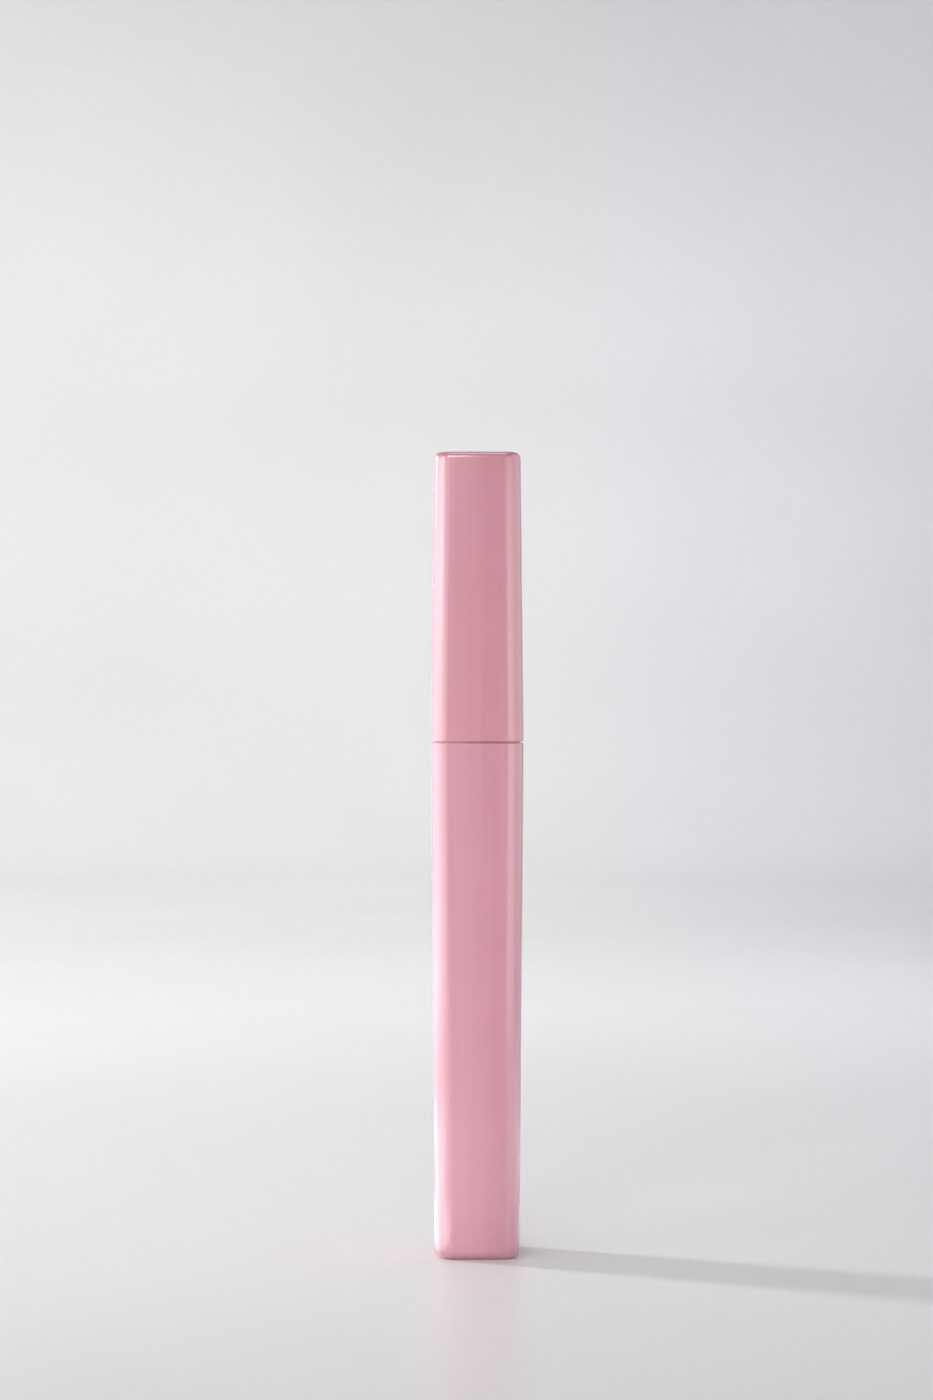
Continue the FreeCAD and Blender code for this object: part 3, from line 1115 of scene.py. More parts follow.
@dataclass(frozen=True)
class CrownedSquare:
    """A square outline with gently arched sides and rounded corners, every arc tangent to the next."""

    half: float
    corner: float
    side_radius: float
    side_steps: int = 12
    corner_steps: int = 24

    @property
    def corner_centre(self) -> float:
        """How far the centre of each corner's arc lies from the axis, along X and along Y."""
        back = self.side_radius - self.half
        return (math.sqrt(2 * (self.side_radius - self.corner) ** 2 - back ** 2) - back) / 2

    @property
    def side_angle(self) -> float:
        """The angle from the middle of a side to its end, at the centre of its arc."""
        return math.asin(self.corner_centre / (self.side_radius - self.corner))

    def draw(self, level: float) -> None:
        """Adds the outline to the mesh under edit as one loop of edges.

        Args:
            level: The outline's level.
        """
        back = self.side_radius - self.half
        reach = self.side_radius * math.sin(self.side_angle)
        fall = self.side_radius * math.cos(self.side_angle) - back
        bpy.ops.mesh.select_mode(type=Element.VERTEX.value)
        bpy.ops.mesh.select_all(action="DESELECT")
        seed()
        bpy.ops.transform.translate(value=(-reach, -fall, level))
        for quarter in range(4):
            turn = Matrix.Rotation(QUARTER_TURN * quarter, 3, UP)
            side = turn @ Vector((0, back, level))
            corner = turn @ Vector((self.corner_centre, -self.corner_centre, level))
            spin(self.side_steps, 2 * self.side_angle, side)
            spin(self.corner_steps, QUARTER_TURN - 2 * self.side_angle, corner)


@dataclass
class SquareShell(SubAssembly):
    """One half of the tube's outside: a square moulded shell, narrowest and closed at one end."""

    name: str
    closed_half: float
    closed_level: float
    rim_half: float
    rim_level: float
    wall: float
    end_thickness: float
    end_rounding: float
    rim_rounding: float = 0.12
    corner: float = 2.7
    side_radius: float = 80.0
    end_steps: int = 12
    holding_margin: float = 0.06

    def half_at(self, level: float) -> float:
        """Half the width of the outside at a level."""
        share = (level - self.closed_level) / (self.rim_level - self.closed_level)
        return self.closed_half + (self.rim_half - self.closed_half) * share

    def into(self, distance: float) -> float:
        """The level that lies a distance from the closed end, towards the rim."""
        return self.closed_level + math.copysign(distance, self.rim_level - self.closed_level)

    def crowned_block(self, name: str, corner: float, *ends: tuple[float, float]) -> bpy.types.Object:
        """A block with crowned sides.

        Args:
            name: The block's name.
            corner: Radius of its upright corners.
            *ends: The level and half the width of each of its two ends.

        Returns:
            The block.
        """
        block = empty_piece(name)
        with editing(block):
            for level, half in ends:
                CrownedSquare(half, corner, self.side_radius).draw(level)
            bpy.ops.mesh.select_all(action="SELECT")
            bpy.ops.mesh.remove_doubles(threshold=WELD)
            bpy.ops.mesh.select_mode(type=Element.EDGE.value)
            bpy.ops.mesh.bridge_edge_loops()
            for level, _ in ends:
                pick(block, Element.EDGE, lies_at(level))
                bpy.ops.mesh.edge_face_add()
        weld(block)
        return block

    def outside(self) -> bpy.types.Object:
        """The outer form, solid, with both ends rounded.

        Returns:
            The outer form.
        """
        piece = self.crowned_block(
            self.name, self.corner, (self.closed_level, self.closed_half), (self.rim_level, self.rim_half)
        )
        round_edges(piece, lies_at(self.closed_level), self.end_rounding, self.end_steps)
        round_edges(piece, lies_at(self.rim_level), self.rim_rounding, steps=4)
        hold_flat(piece, self.closed_level, self.holding_margin)
        length = abs(self.rim_level - self.closed_level)
        held = self.end_rounding + self.holding_margin, length - self.rim_rounding - self.holding_margin
        slice_at(piece, [self.into(distance) for distance in held])
        return piece

    def hollow(self, piece: bpy.types.Object) -> None:
        """Takes the inside out of the outer form, open at the rim.

        Args:
            piece: The outer form.
        """
        floor = self.into(self.end_thickness)
        mouth = self.into(abs(self.rim_level - self.closed_level) + PAST)
        ends = sorted((level, self.half_at(level) - self.wall) for level in (floor, mouth))
        low, high = [(half, level) for level, half in ends]
        inside = tapered_block("inside", low, high, self.corner - self.wall)
        combine(piece, inside, Cut.TAKE_AWAY)

    def cut_pockets(self, piece: bpy.types.Object, level: float) -> None:
        """Cuts the pockets that hold an inner part's lugs into the inner walls."""
        for pocket in lugs(self.half_at(level) - self.wall, level, LUG_PLAY):
            combine(piece, pocket, Cut.TAKE_AWAY)


@dataclass
class Body(SquareShell):
    """The square body with the blank label's recess under its base."""

    recess_radius: float = 4.0
    recess_depth: float = 0.35
    recess_edge: float = 0.08
    lip_inset: float = 0.45
    lip_rise: float = 0.2
    lip_edge: float = 0.05
    lug_level: float = 74.275

    def lip(self) -> bpy.types.Object:
        """The lip that stands on the rim, back from its outside, and closes the seam to sight.

        Returns:
            The lip, solid.
        """
        half, top = self.rim_half - self.lip_inset, self.rim_level + self.lip_rise
        lip = self.crowned_block(
            "lip", self.corner - self.lip_inset, (self.rim_level - self.lip_inset, half), (top, half)
        )
        round_edges(lip, lies_at(top), self.lip_edge, steps=2)
        return lip

    def make(self) -> None:
        """Models the body and hands it over."""
        piece = self.outside()
        combine(piece, self.lip(), Cut.JOIN)
        self.hollow(piece)
        recess = rod_between("recess", self.recess_radius, -PAST, self.recess_depth)
        combine(piece, recess, Cut.TAKE_AWAY)
        round_edges(piece, self.on_recess_edge, self.recess_edge, steps=3)
        self.cut_pockets(piece, self.lug_level)
        finish(piece)
        self.hand_over(piece, "body_plastic", PINK_BODY, ["body_shell"])

    def on_recess_edge(self, edge: bmesh.types.BMEdge) -> bool:
        """Whether an edge is on the recess's outer rim."""
        return lies_at(0)(edge) and all(abs(v.co.xy.length - self.recess_radius) < LEVEL for v in edge.verts)


@dataclass
class Cap(SquareShell):
    """The square cap over the neck and the wand's end."""

    lug_level: float = 77.725

    def make(self) -> None:
        """Models the cap and hands it over."""
        piece = self.outside()
        self.hollow(piece)
        self.cut_pockets(piece, self.lug_level)
        finish(piece)
        self.hand_over(piece, "cap_plastic", PINK_CAP, ["cap_shell"])


@dataclass(frozen=True)
class Thread:
    """The ridges of a thread with several starts, on the outside of a round wall or on the inside of one."""

    wall_radius: float
    foot: float
    inward: bool = False
    count: int = 4
    lead: float = 12.0
    rise: float = 3.4
    depth: float = 0.6
    root: float = 1.0
    crest: float = 0.6
    bite: float = 0.2
    crest_rounding: float = 0.14
    crest_steps: int = 4
    steps: int = 40
    runout: float = 0.16
    end_height: float = 0.3

    @property
    def turn(self) -> float:
        """The angle that each ridge runs through."""
        return FULL_TURN * self.rise / self.lead

    def at(self, height: float) -> float:
        """The radius of the point that lies a height out of the wall."""
        return self.wall_radius - height if self.inward else self.wall_radius + height

    def ridges(self) -> list[bpy.types.Object]:
        """All ridges, each a solid that sinks into the wall at both ends.

        Returns:
            The ridges.
        """
        flare = (self.root - self.crest) / 2 * self.bite / self.depth
        low, high = self.root / 2 + flare, self.crest / 2
        section = rounded_path([
            Corner(self.at(-self.bite), self.foot - low),
            Corner(self.at(self.depth), self.foot - high, self.crest_rounding),
            Corner(self.at(self.depth), self.foot + high, self.crest_rounding),
            Corner(self.at(-self.bite), self.foot + low),
        ], self.crest_steps)
        piece = empty_piece("ridge")
        with editing(piece):
            draw_path(section, closed=True)
            bpy.ops.mesh.select_all(action="SELECT")
            bpy.ops.mesh.remove_doubles(threshold=WELD)
        wind_up(piece, self.turn, self.rise, self.steps)
        self.run_out(piece)
        close_ends(piece)
        return copies_round(piece, self.count)

    def run_out(self, ridge: bpy.types.Object) -> None:
        """Lowers a ridge smoothly towards the wall at both ends.

        Args:
            ridge: The ridge to change.
        """
        buried = self.at(-self.bite)
        for vertex in ridge.data.vertices:
            angle = math.atan2(vertex.co.y, vertex.co.x) % FULL_TURN
            share = min(angle, abs(self.turn - angle)) / (self.turn * self.runout)
            height = self.end_height + (1 - self.end_height) * math.sin(min(share, 1.0) * QUARTER_TURN)
            radius = vertex.co.xy.length
            wanted = buried + (radius - buried) * height
            vertex.co.x *= wanted / radius
            vertex.co.y *= wanted / radius


@dataclass
class Bottle(SubAssembly):
    """The inner bottle with its threaded neck, and what is held in it."""

    wall: float = 0.8
    corner: float = 1.5
    inner_corner: float = 0.5
    foot_half: float = 5.087
    shoulder_half: float = 5.601
    shoulder_level: float = 70.775
    shoulder_rise: float = 1.2
    shoulder_inset: float = 0.7
    floor_thickness: float = 1.0
    neck_radius: float = 4.2
    bore_radius: float = 3.4
    neck_foot_radius: float = 4.85
    neck_foot_top: float = 76.575
    neck_foot_edge: float = 0.1
    neck_fillet: float = 0.15
    lip_rounding: float = 0.18
    thread: Thread = Thread(wall_radius=4.2, foot=79.1)
    span: Span = field(default_factory=lambda: node_span("inner_bottle"))

    def bottle_block(self, name: str, inset: float, corner: float, foot: float,
                     shoulder: float) -> bpy.types.Object:
        """The square bottle with its sloping shoulder, or the same form an inset smaller.

        Args:
            name: The block's name.
            inset: How much smaller it is on every side.
            corner: Radius of its upright corners.
            foot: The level of its foot.
            shoulder: The level where its shoulder starts.

        Returns:
            The block.
        """
        low, high = self.foot_half - inset, self.shoulder_half - inset
        block = tapered_block(name, (low, foot), (high, shoulder), corner)
        with editing(block):
            pick(block, Element.FACE, lies_at(shoulder))
            extrude_by(UP * self.shoulder_rise)
            scale_level((high - self.shoulder_inset) / high, shoulder + self.shoulder_rise)
        return block

    def neck(self) -> bpy.types.Object:
        """The round neck with its wider foot, which the collar fits.

        Returns:
            The neck, solid.
        """
        lip = self.span.high
        return turned_piece("neck", [
            Corner(0, self.shoulder_level), Corner(self.neck_foot_radius, self.shoulder_level),
            Corner(self.neck_foot_radius, self.neck_foot_top, self.neck_foot_edge),
            Corner(self.neck_radius, self.neck_foot_top, self.neck_fillet),
            Corner(self.neck_radius, lip, self.lip_rounding), Corner(0, lip),
        ], closed=False)

    def make(self) -> None:
        """Models the bottle and hands it over with what it holds."""
        piece = self.bottle_block("threaded_bottle", 0, self.corner, self.span.low, self.shoulder_level)
        combine(piece, self.neck(), Cut.JOIN)
        for ridge in self.thread.ridges():
            combine(piece, ridge, Cut.JOIN)
        inside = self.bottle_block(
            "cavity", self.wall, self.inner_corner, self.span.low + self.floor_thickness,
            self.shoulder_level - self.wall,
        )
        combine(piece, inside, Cut.TAKE_AWAY)
        bore = rod_between("bore", self.bore_radius, self.shoulder_level - PAST, self.span.high + PAST)
        combine(piece, bore, Cut.TAKE_AWAY)
        finish(piece)
        self.hand_over(piece, "bottle_plastic", NATURAL, ["inner_bottle"])
        self.dress("mascara_paste", WetPaste("mascara"))
        self.dress("base_weight", Steel("zinc_plated_steel", patch_size=2.2, line_width=0.4))
        self.dress("base_label", PaperLabel("blank_label"))


@dataclass
class Wiper(SubAssembly):
    """The soft sleeve in the bottle's neck that strips the wand."""

    flange_radius: float = 4.1
    flange: float = 0.6
    sleeve_radius: float = 3.35
    inner_radius: float = 2.9
    hole_radius: float = 2.05
    taper: float = 2.8
    mouth_rounding: float = 0.18
    flange_rounding: float = 0.2
    seat_rounding: float = 0.1
    waist_rounding: float = 0.4
    end_rounding: float = 0.1
    hole_rounding: float = 0.12
    span: Span = field(default_factory=lambda: node_span("wiper"))

    def make(self) -> None:
        """Models the wiper and hands it over."""
        top, end = self.span.high, self.span.low
        wall = self.sleeve_radius - self.inner_radius
        under, waist = top - self.flange, end + self.taper
        piece = turned_piece("wiper_sleeve", [
            Corner(self.inner_radius, top, self.mouth_rounding),
            Corner(self.flange_radius, top, self.flange_rounding),
            Corner(self.flange_radius, under, self.seat_rounding),
            Corner(self.sleeve_radius, under),
            Corner(self.sleeve_radius, waist, self.waist_rounding),
            Corner(self.hole_radius + wall, end, self.end_rounding),
            Corner(self.hole_radius, end, self.hole_rounding),
            Corner(self.inner_radius, waist, self.waist_rounding),
        ])
        finish(piece)
        look = NaturalPlastic("soft_wiper_plastic", roughness=(0.23, 0.36), smudge_radius=3.2)
        self.hand_over(piece, "wiper_plastic", look, ["wiper"])


@dataclass
class Washer(SubAssembly):
    """The foam washer that seals the neck."""

    inner_radius: float = 3.1
    outer_radius: float = 4.6
    inner_edge: float = 0.06
    outer_edge: float = 0.12
    span: Span = field(default_factory=lambda: node_span("seal_washer"))

    def make(self) -> None:
        """Models the washer and hands it over."""
        inner, outer = self.inner_radius, self.outer_radius
        low, high = self.span.low, self.span.high
        piece = turned_piece("foam_washer", [
            Corner(inner, low, self.inner_edge), Corner(outer, low, self.outer_edge),
            Corner(outer, high, self.outer_edge), Corner(inner, high, self.inner_edge),
        ])
        finish(piece)
        self.hand_over(piece, "washer_foam", Foam("closed_cell_foam"), ["seal_washer"])


@dataclass
class Wand(SubAssembly):
    """The wand: the rod in its socket, the twisted wire and the bristles that it holds."""

    rod_radius: float = 1.95
    end_radius: float = 1.55
    end_taper: float = 3.0
    end_rounding: float = 0.35
    taper_rounding: float = 2.0
    plug_radius: float = 2.85
    plug_foot: float = 83.4
    plug_top: float = 86.4
    plug_taper: float = 1.8
    plug_blend: float = 0.8
    plug_edge: float = 0.1
    shank_radius: float = 2.05
    barb_radius: float = 2.25
    barb_height: float = 1.4
    barb_pitch: float = 2.6
    barb_count: int = 3
    top_edge: float = 0.2
    wire_hole: float = 0.52
    wire_hole_depth: float = 6.5
    strand_radius: float = 0.23
    strand_orbit: float = 0.25
    strand_twist: float = 2.4
    strand_steps: int = 20
    strand_sides: int = 12
    film_level: float = 52.0
    rod: Span = field(default_factory=lambda: node_span("wand_rod"))
    wire: Span = field(default_factory=lambda: node_span("brush_wire"))

    def make(self) -> None:
        """Models the rod and the wire and hands them over."""
        self.make_rod()
        self.make_wire()

    def make_rod(self) -> None:
        """The rod, with its plug and its barbed shank."""
        end, top = self.rod.low, self.rod.high
        profile = [
            Corner(0, end), Corner(self.end_radius, end, self.end_rounding),
            Corner(self.rod_radius, end + self.end_taper, self.taper_rounding),
            Corner(self.rod_radius, self.plug_foot - self.plug_taper, self.plug_blend),
            Corner(self.plug_radius, self.plug_foot, self.plug_blend),
            Corner(self.plug_radius, self.plug_top, self.plug_edge),
            Corner(self.shank_radius, self.plug_top),
        ]
        for k in range(self.barb_count):
            foot = self.plug_top + self.barb_height / 2 + k * self.barb_pitch
            profile += [
                Corner(self.shank_radius, foot), Corner(self.barb_radius, foot),
                Corner(self.shank_radius, foot + self.barb_height),
            ]
        profile += [Corner(self.shank_radius, top, self.top_edge), Corner(0, top)]
        piece = turned_piece("wand_stem", profile, closed=False, arc_steps=6)
        hole = rod_between("wire_hole", self.wire_hole, end - PAST, end + self.wire_hole_depth, steps=32)
        combine(piece, hole, Cut.TAKE_AWAY)
        finish(piece)
        look = CoatedRod("coated_rod", coat_level=self.film_level)
        self.hand_over(piece, "wand_plastic", look, ["wand_rod"])

    def make_wire(self) -> None:
        """The wire: two strands twisted round each other."""
        length = self.wire.high - self.wire.low
        turns = length / self.strand_twist
        steps = round(turns * self.strand_steps)
        start = (self.strand_orbit, 0, self.wire.low)
        bpy.ops.object.select_all(action="DESELECT")
        bpy.ops.mesh.primitive_circle_add(
            vertices=self.strand_sides, radius=self.strand_radius, location=start
        )
        strand = added("twisted_wire")
        bpy.ops.object.transform_apply(location=True, rotation=True, scale=True)
        wind_up(strand, FULL_TURN * turns, length, steps)
        close_ends(strand)
        strands = copies_round(strand, count=2)
        bpy.ops.object.select_all(action="DESELECT")
        for piece in strands:
            piece.select_set(True)
        bpy.context.view_layer.objects.active = strand
        bpy.ops.object.join()
        finish(strand, smooth_angle=50.0)
        self.hand_over(strand, "brush_steel", Steel("twisted_steel", patch_size=0.8), ["brush_wire"])


@dataclass
class Brush(SubAssembly):
    """The brush: nylon fibres in two rows that follow the wire's twist, and the mascara they carry."""

    radius: float = 3.4
    tip_radius: float = 1.5
    heel_radius: float = 2.5
    tip_taper: float = 8.0
    heel_taper: float = 4.0
    twist: float = 2.4
    fibre_count: int = 860
    fibre_root: float = 0.055
    fibre_tip: float = 0.028
    fibre_joints: int = 5
    inner_end: float = 0.2
    fan: float = 11.0
    lean: float = 5.0
    sweep: float = 0.16
    raggedness: float = 0.045
    end_margin: float = 0.1
    coated_radius: float = 1.9
    load_tip_gap: float = 0.5
    load_tip_radius: float = 0.95
    load_tip_rise: float = 0.2
    load_tip_rounding: float = 0.4
    load_heel_gap: float = 0.3
    load_heel_radius: float = 1.15
    load_heel_rise: float = 0.4
    load_heel_rounding: float = 0.3
    load_sides: int = 40
    load_rings: int = 90
    load_twist: float = 0.24
    load_lumps: float = 0.5
    lump_frequency: float = 0.9
    lump_falloff: float = 0.7
    lump_ratio: float = 2.0
    lump_layers: int = 4
    seed: int = 7
    span: Span = field(default_factory=lambda: node_span("brush_bristles"))

    def reach(self, level: float) -> float:
        """The radius that the bristles' tips reach at a level.

        Args:
            level: The level.

        Returns:
            The radius.
        """
        from_tip = (level - self.span.low) / self.tip_taper
        from_heel = (self.span.high - level) / self.heel_taper
        tip = self.tip_radius + (self.radius - self.tip_radius) * min(from_tip, 1)
        heel = self.heel_radius + (self.radius - self.heel_radius) * min(from_heel, 1)
        return min(tip, heel)

    def make(self) -> None:
        """Models the bristles and the mascara between them, and hands them over."""
        self.make_bristles()
        self.make_load()

    def single_fibre(self) -> bpy.types.Object:
        """One fibre along X, with joints where it can bend.

        Returns:
            The fibre.
        """
        length = self.radius - self.inner_end
        bpy.ops.object.select_all(action="DESELECT")
        bpy.ops.mesh.primitive_cone_add(
            vertices=4, radius1=self.fibre_root, radius2=self.fibre_tip, depth=length,
            location=(self.inner_end + length / 2, 0, 0), rotation=(0, QUARTER_TURN, 0),
        )
        fibre = added("brush_fibres")
        bpy.ops.object.transform_apply(location=True, rotation=True, scale=True)
        with editing(fibre):
            for joint in range(1, self.fibre_joints):
                bpy.ops.mesh.select_all(action="SELECT")
                place = self.inner_end + length * joint / self.fibre_joints
                bpy.ops.mesh.bisect(plane_co=(place, 0, 0), plane_no=(1, 0, 0))
        return fibre

    def make_bristles(self) -> None:
        """All the fibres, each with its own reach, lean and bend."""
        fibre = self.single_fibre()
        corners = len(fibre.data.vertices)
        rise = (self.span.high - self.span.low - 2 * self.end_margin) / (self.fibre_count - 1)
        fibre.data.transform(Matrix.Translation((0, 0, self.span.low + self.end_margin)))
        step = bpy.data.objects.new("fibre_step", None)
        bpy.context.scene.collection.objects.link(step)
        step.location = (0, 0, rise)
        step.rotation_euler = (0, 0, math.pi + FULL_TURN * rise / self.twist)
        bpy.context.view_layer.update()
        apply_modifier(
            fibre, "ARRAY", count=self.fibre_count, use_relative_offset=False, use_object_offset=True,
            offset_object=step,
        )
        bpy.data.objects.remove(step)
        self.loosen(fibre, corners)
        finish(fibre, SOFT_EDGES)
        look = Nylon("nylon_fibre", coated_radius=self.coated_radius)
        self.hand_over(fibre, "bristle_nylon", look, ["brush_bristles"])

    def loosen(self, fibres: bpy.types.Object, corners: int) -> None:
        """Gives each fibre its own turn, lean, sweep and length, as cut and crimped fibres have.

        Args:
            fibres: All fibres in one mesh, one after the other.
            corners: How many vertices one fibre has.
        """
        chance = random.Random(self.seed)
        vertices = fibres.data.vertices
        per_row = range(0, len(vertices), corners)
        for first in per_row:
            own = [vertices[k] for k in range(first, first + corners)]
            middle = sum((v.co for v in own), Vector()) / corners
            level = middle.z
            turn = math.radians(chance.gauss(0, self.fan))
            lean = math.tan(math.radians(chance.gauss(0, self.lean)))
            sweep = chance.gauss(self.sweep, self.sweep)
            trim = 1 - abs(chance.gauss(0, self.raggedness))
            outward = Vector((middle.x, middle.y, 0)).normalized()
            across = UP.cross(outward)
            length = self.reach(level) * trim
            for vertex in own:
                out = vertex.co.dot(outward)
                aside = vertex.co.dot(across)
                up = vertex.co.z - level
                share = (out - self.inner_end) / (self.radius - self.inner_end)
                out = self.inner_end + (length - self.inner_end) * share
                side = aside + sweep * share * share
                straight = outward * out + across * side
                straight.rotate(Matrix.Rotation(turn, 3, UP))
                height = level + up + lean * out
                vertex.co = Vector((straight.x, straight.y, min(max(height, self.span.low), self.span.high)))

    def make_load(self) -> None:
        """The mascara that the brush carries between its bristles, lumpy and twisted as the wire is."""
        low, high = self.span.low + self.load_tip_gap, self.span.high - self.load_heel_gap
        piece = turned_piece("brush_mascara", [
            Corner(0, low),
            Corner(self.load_tip_radius, low + self.load_tip_rise, self.load_tip_rounding),
            Corner(self.load_heel_radius, high - self.load_heel_rise, self.load_heel_rounding),
            Corner(0, high),
        ], steps=self.load_sides, closed=False)
        rings = range(2, self.load_rings - 1)
        slice_at(piece, [low + (high - low) * ring / self.load_rings for ring in rings])
        for vertex in piece.data.vertices:
            radius = vertex.co.xy.length
            if radius < LEVEL:
                continue
            angle = math.atan2(vertex.co.y, vertex.co.x) - FULL_TURN * vertex.co.z / self.twist
            lump = noise.fractal(
                vertex.co * self.lump_frequency, self.lump_falloff, self.lump_ratio, self.lump_layers
            )
            scale = 1 + self.load_twist * math.cos(2 * angle) + self.load_lumps * lump
            vertex.co.x *= scale
            vertex.co.y *= scale
        finish(piece, SOFT_EDGES)
        self.hand_over(piece, "paste", WetPaste("mascara"))


@dataclass
class Collar(SubAssembly):
    """The square ring that locks the bottle into the body, with a round stop for the inner cap."""

    low_half: float = 5.711
    high_half: float = 5.748
    corner: float = 1.5
    bore_radius: float = 4.9
    stop_radius: float = 5.45
    stop_height: float = 0.35
    lug_level: float = 74.275
    edge: float = 0.12
    span: Span = field(default_factory=lambda: node_span("collar"))

    def make(self) -> None:
        """Models the collar and hands it over."""
        foot, stop_top = self.span.low, self.span.high
        top = stop_top - self.stop_height
        piece = tapered_block("locking_collar", (self.low_half, foot), (self.high_half, top), self.corner)
        round_edges(piece, lies_at(top), self.edge, steps=3)
        stop = turned_piece("stop", [
            Corner(0, foot + PAST), Corner(self.stop_radius, foot + PAST),
            Corner(self.stop_radius, stop_top, self.edge), Corner(0, stop_top),
        ], closed=False)
        combine(piece, stop, Cut.JOIN)
        for lug in lugs((self.low_half + self.high_half) / 2, self.lug_level):
            combine(piece, lug, Cut.JOIN)
        combine(piece, rod_between("bore", self.bore_radius, foot - PAST, stop_top + PAST), Cut.TAKE_AWAY)
        finish(piece)
        self.hand_over(piece, "collar_plastic", ROSE_INSIDE, ["collar"])


@dataclass
class InnerCap(SubAssembly):
    """The threaded inner cap: a square foot, a round tube, the wand's socket, and ribs that centre it."""

    foot_half: float = 5.747
    plate_half: float = 5.734
    plate_top: float = 78.325
    corner: float = 1.5
    tube_radius: float = 5.55
    bore_radius: float = 4.95
    ceiling: float = 86.4
    roof: float = 87.6
    socket_radius: float = 2.3
    socket_wall: float = 1.0
    socket_depth: float = 9.5
    cross_reach: float = 5.315
    corner_reach: float = 7.301
    rib: float = 0.9
    rib_edge: float = 0.1
    lug_level: float = 77.725
    edge: float = 0.15
    thread: Thread = Thread(wall_radius=4.95, foot=78.18, inward=True)
    span: Span = field(default_factory=lambda: node_span("inner_cap"))

    def ribs(self, reach: float, low: float, high: float, turn: float) -> list[bpy.types.Object]:
        """Two crossed ribs.

        Args:
            reach: How far they reach from the axis.
            low: The level of their foot.
            high: The level of their top.
            turn: The first rib's angle from the X axis.

        Returns:
            The ribs.
        """
        bpy.ops.object.select_all(action="DESELECT")
        bpy.ops.mesh.primitive_cube_add(size=1, location=(0, 0, (low + high) / 2), rotation=(0, 0, turn))
        rib = added("rib")
        rib.scale = (2 * reach, self.rib, high - low)
        bpy.ops.object.transform_apply(location=True, rotation=True, scale=True)
        round_edges(rib, stands_upright, self.rib_edge, steps=2)
        return copies_round(rib, count=2, turn=FULL_TURN / 2)

    def make(self) -> None:
        """Models the inner cap and hands it over."""
        foot, top = self.span.low, self.span.high
        plate = (self.plate_half, self.plate_top)
        piece = tapered_block("threaded_inner_cap", (self.foot_half, foot), plate, self.corner)
        round_edges(piece, lies_at(foot), self.edge, steps=3)
        tube = turned_piece("tube", [
            Corner(0, foot + self.edge), Corner(self.tube_radius, foot + self.edge),
            Corner(self.tube_radius, self.roof, 2 * self.edge), Corner(0, self.roof),
        ], closed=False)
        outer = self.socket_radius + self.socket_wall
        socket_top = self.ceiling + self.socket_depth + self.socket_wall
        socket = turned_piece("socket", [
            Corner(0, self.ceiling), Corner(outer, self.ceiling), Corner(outer, socket_top, 2 * self.edge),
            Corner(0, socket_top),
        ], closed=False)
        ribs = self.ribs(self.cross_reach, self.ceiling, top, 0)
        ribs += self.ribs(self.corner_reach, self.plate_top - PAST, self.roof, QUARTER_TURN / 2)
        for part in [tube, socket, *ribs, *lugs((self.foot_half + self.plate_half) / 2, self.lug_level)]:
            combine(piece, part, Cut.JOIN)
        bore = rod_between("bore", self.bore_radius, foot - PAST, self.ceiling)
        hole = rod_between("hole", self.socket_radius, self.ceiling - PAST, self.ceiling + self.socket_depth)
        for cutter in (bore, hole):
            combine(piece, cutter, Cut.TAKE_AWAY)
        for ridge in self.thread.ridges():
            combine(piece, ridge, Cut.JOIN)
        finish(piece)
        self.hand_over(piece, "inner_cap_plastic", ROSE_INSIDE, ["inner_cap"])


# --------------------------------------------------------------------------------------------------
# Studio


@dataclass(frozen=True)
class SoftLight:
    """A flat light at a place, aimed at a point. The camera doesn't see it."""

    name: str
    place: Place
    aim: Place
    width: float
    height: float
    power: float
    spread: float = 180.0

    def set_up(self) -> None:
        """Adds the light."""
        data = bpy.data.lights.new(self.name, "AREA")
        data.shape = "RECTANGLE"
        data.size, data.size_y = self.width, self.height
        data.energy = self.power
        data.spread = math.radians(self.spread)
        lamp = bpy.data.objects.new(self.name, data)
        bpy.context.scene.collection.objects.link(lamp)
        lamp.location = self.place
        away = Vector(self.place) - Vector(self.aim)
        lamp.rotation_euler = away.to_track_quat("Z", "Y").to_euler()
        lamp.visible_camera = False


def round_tube(name: str, bearing: float, distance: float, level: float, width: float, height: float,
               power: float, tilt: float = 0.0, spread: float = 180.0) -> SoftLight:
    """A light that stands round the tube and faces its axis.

    Args:
        name: The light's name.
        bearing: Its direction from the tube in degrees, from the camera's side towards the left.
        distance: Its distance from the tube's axis.
        level: The level of its middle.
        width: Its width.
        height: Its height.
        power: Its power in watts.
        tilt: How many degrees it faces downwards.
        spread: The angle that its light spreads through, in degrees.

    Returns:
        The light.
    """
    turn, fall = math.radians(bearing), math.radians(tilt)
    side = Vector((-math.sin(turn), -math.cos(turn), 0))
    place = side * distance + UP * level
    aim = place - side * math.cos(fall) - UP * math.sin(fall)
    return SoftLight(name, tuple(place), tuple(aim), width, height, power, spread)


def on_floor(name: str, left: float, right: float, near: float, far: float, power: float) -> SoftLight:
    """A light that lies on the floor and faces upwards, as a reflecting card does.

    Args:
        name: The light's name.
        left: Its left end along X.
        right: Its right end.
        near: Its near end along Y.
        far: Its far end.
        power: Its power in watts.

    Returns:
        The light.
    """
    middle = Vector(((left + right) / 2, (near + far) / 2, MM))
    return SoftLight(name, tuple(middle), tuple(middle + UP), right - left, far - near, power)


class Panel(NamedTuple):
    """A low panel close to the tube, which its corners mirror: its bearing, width and power."""

    bearing: float
    width: float
    power: float


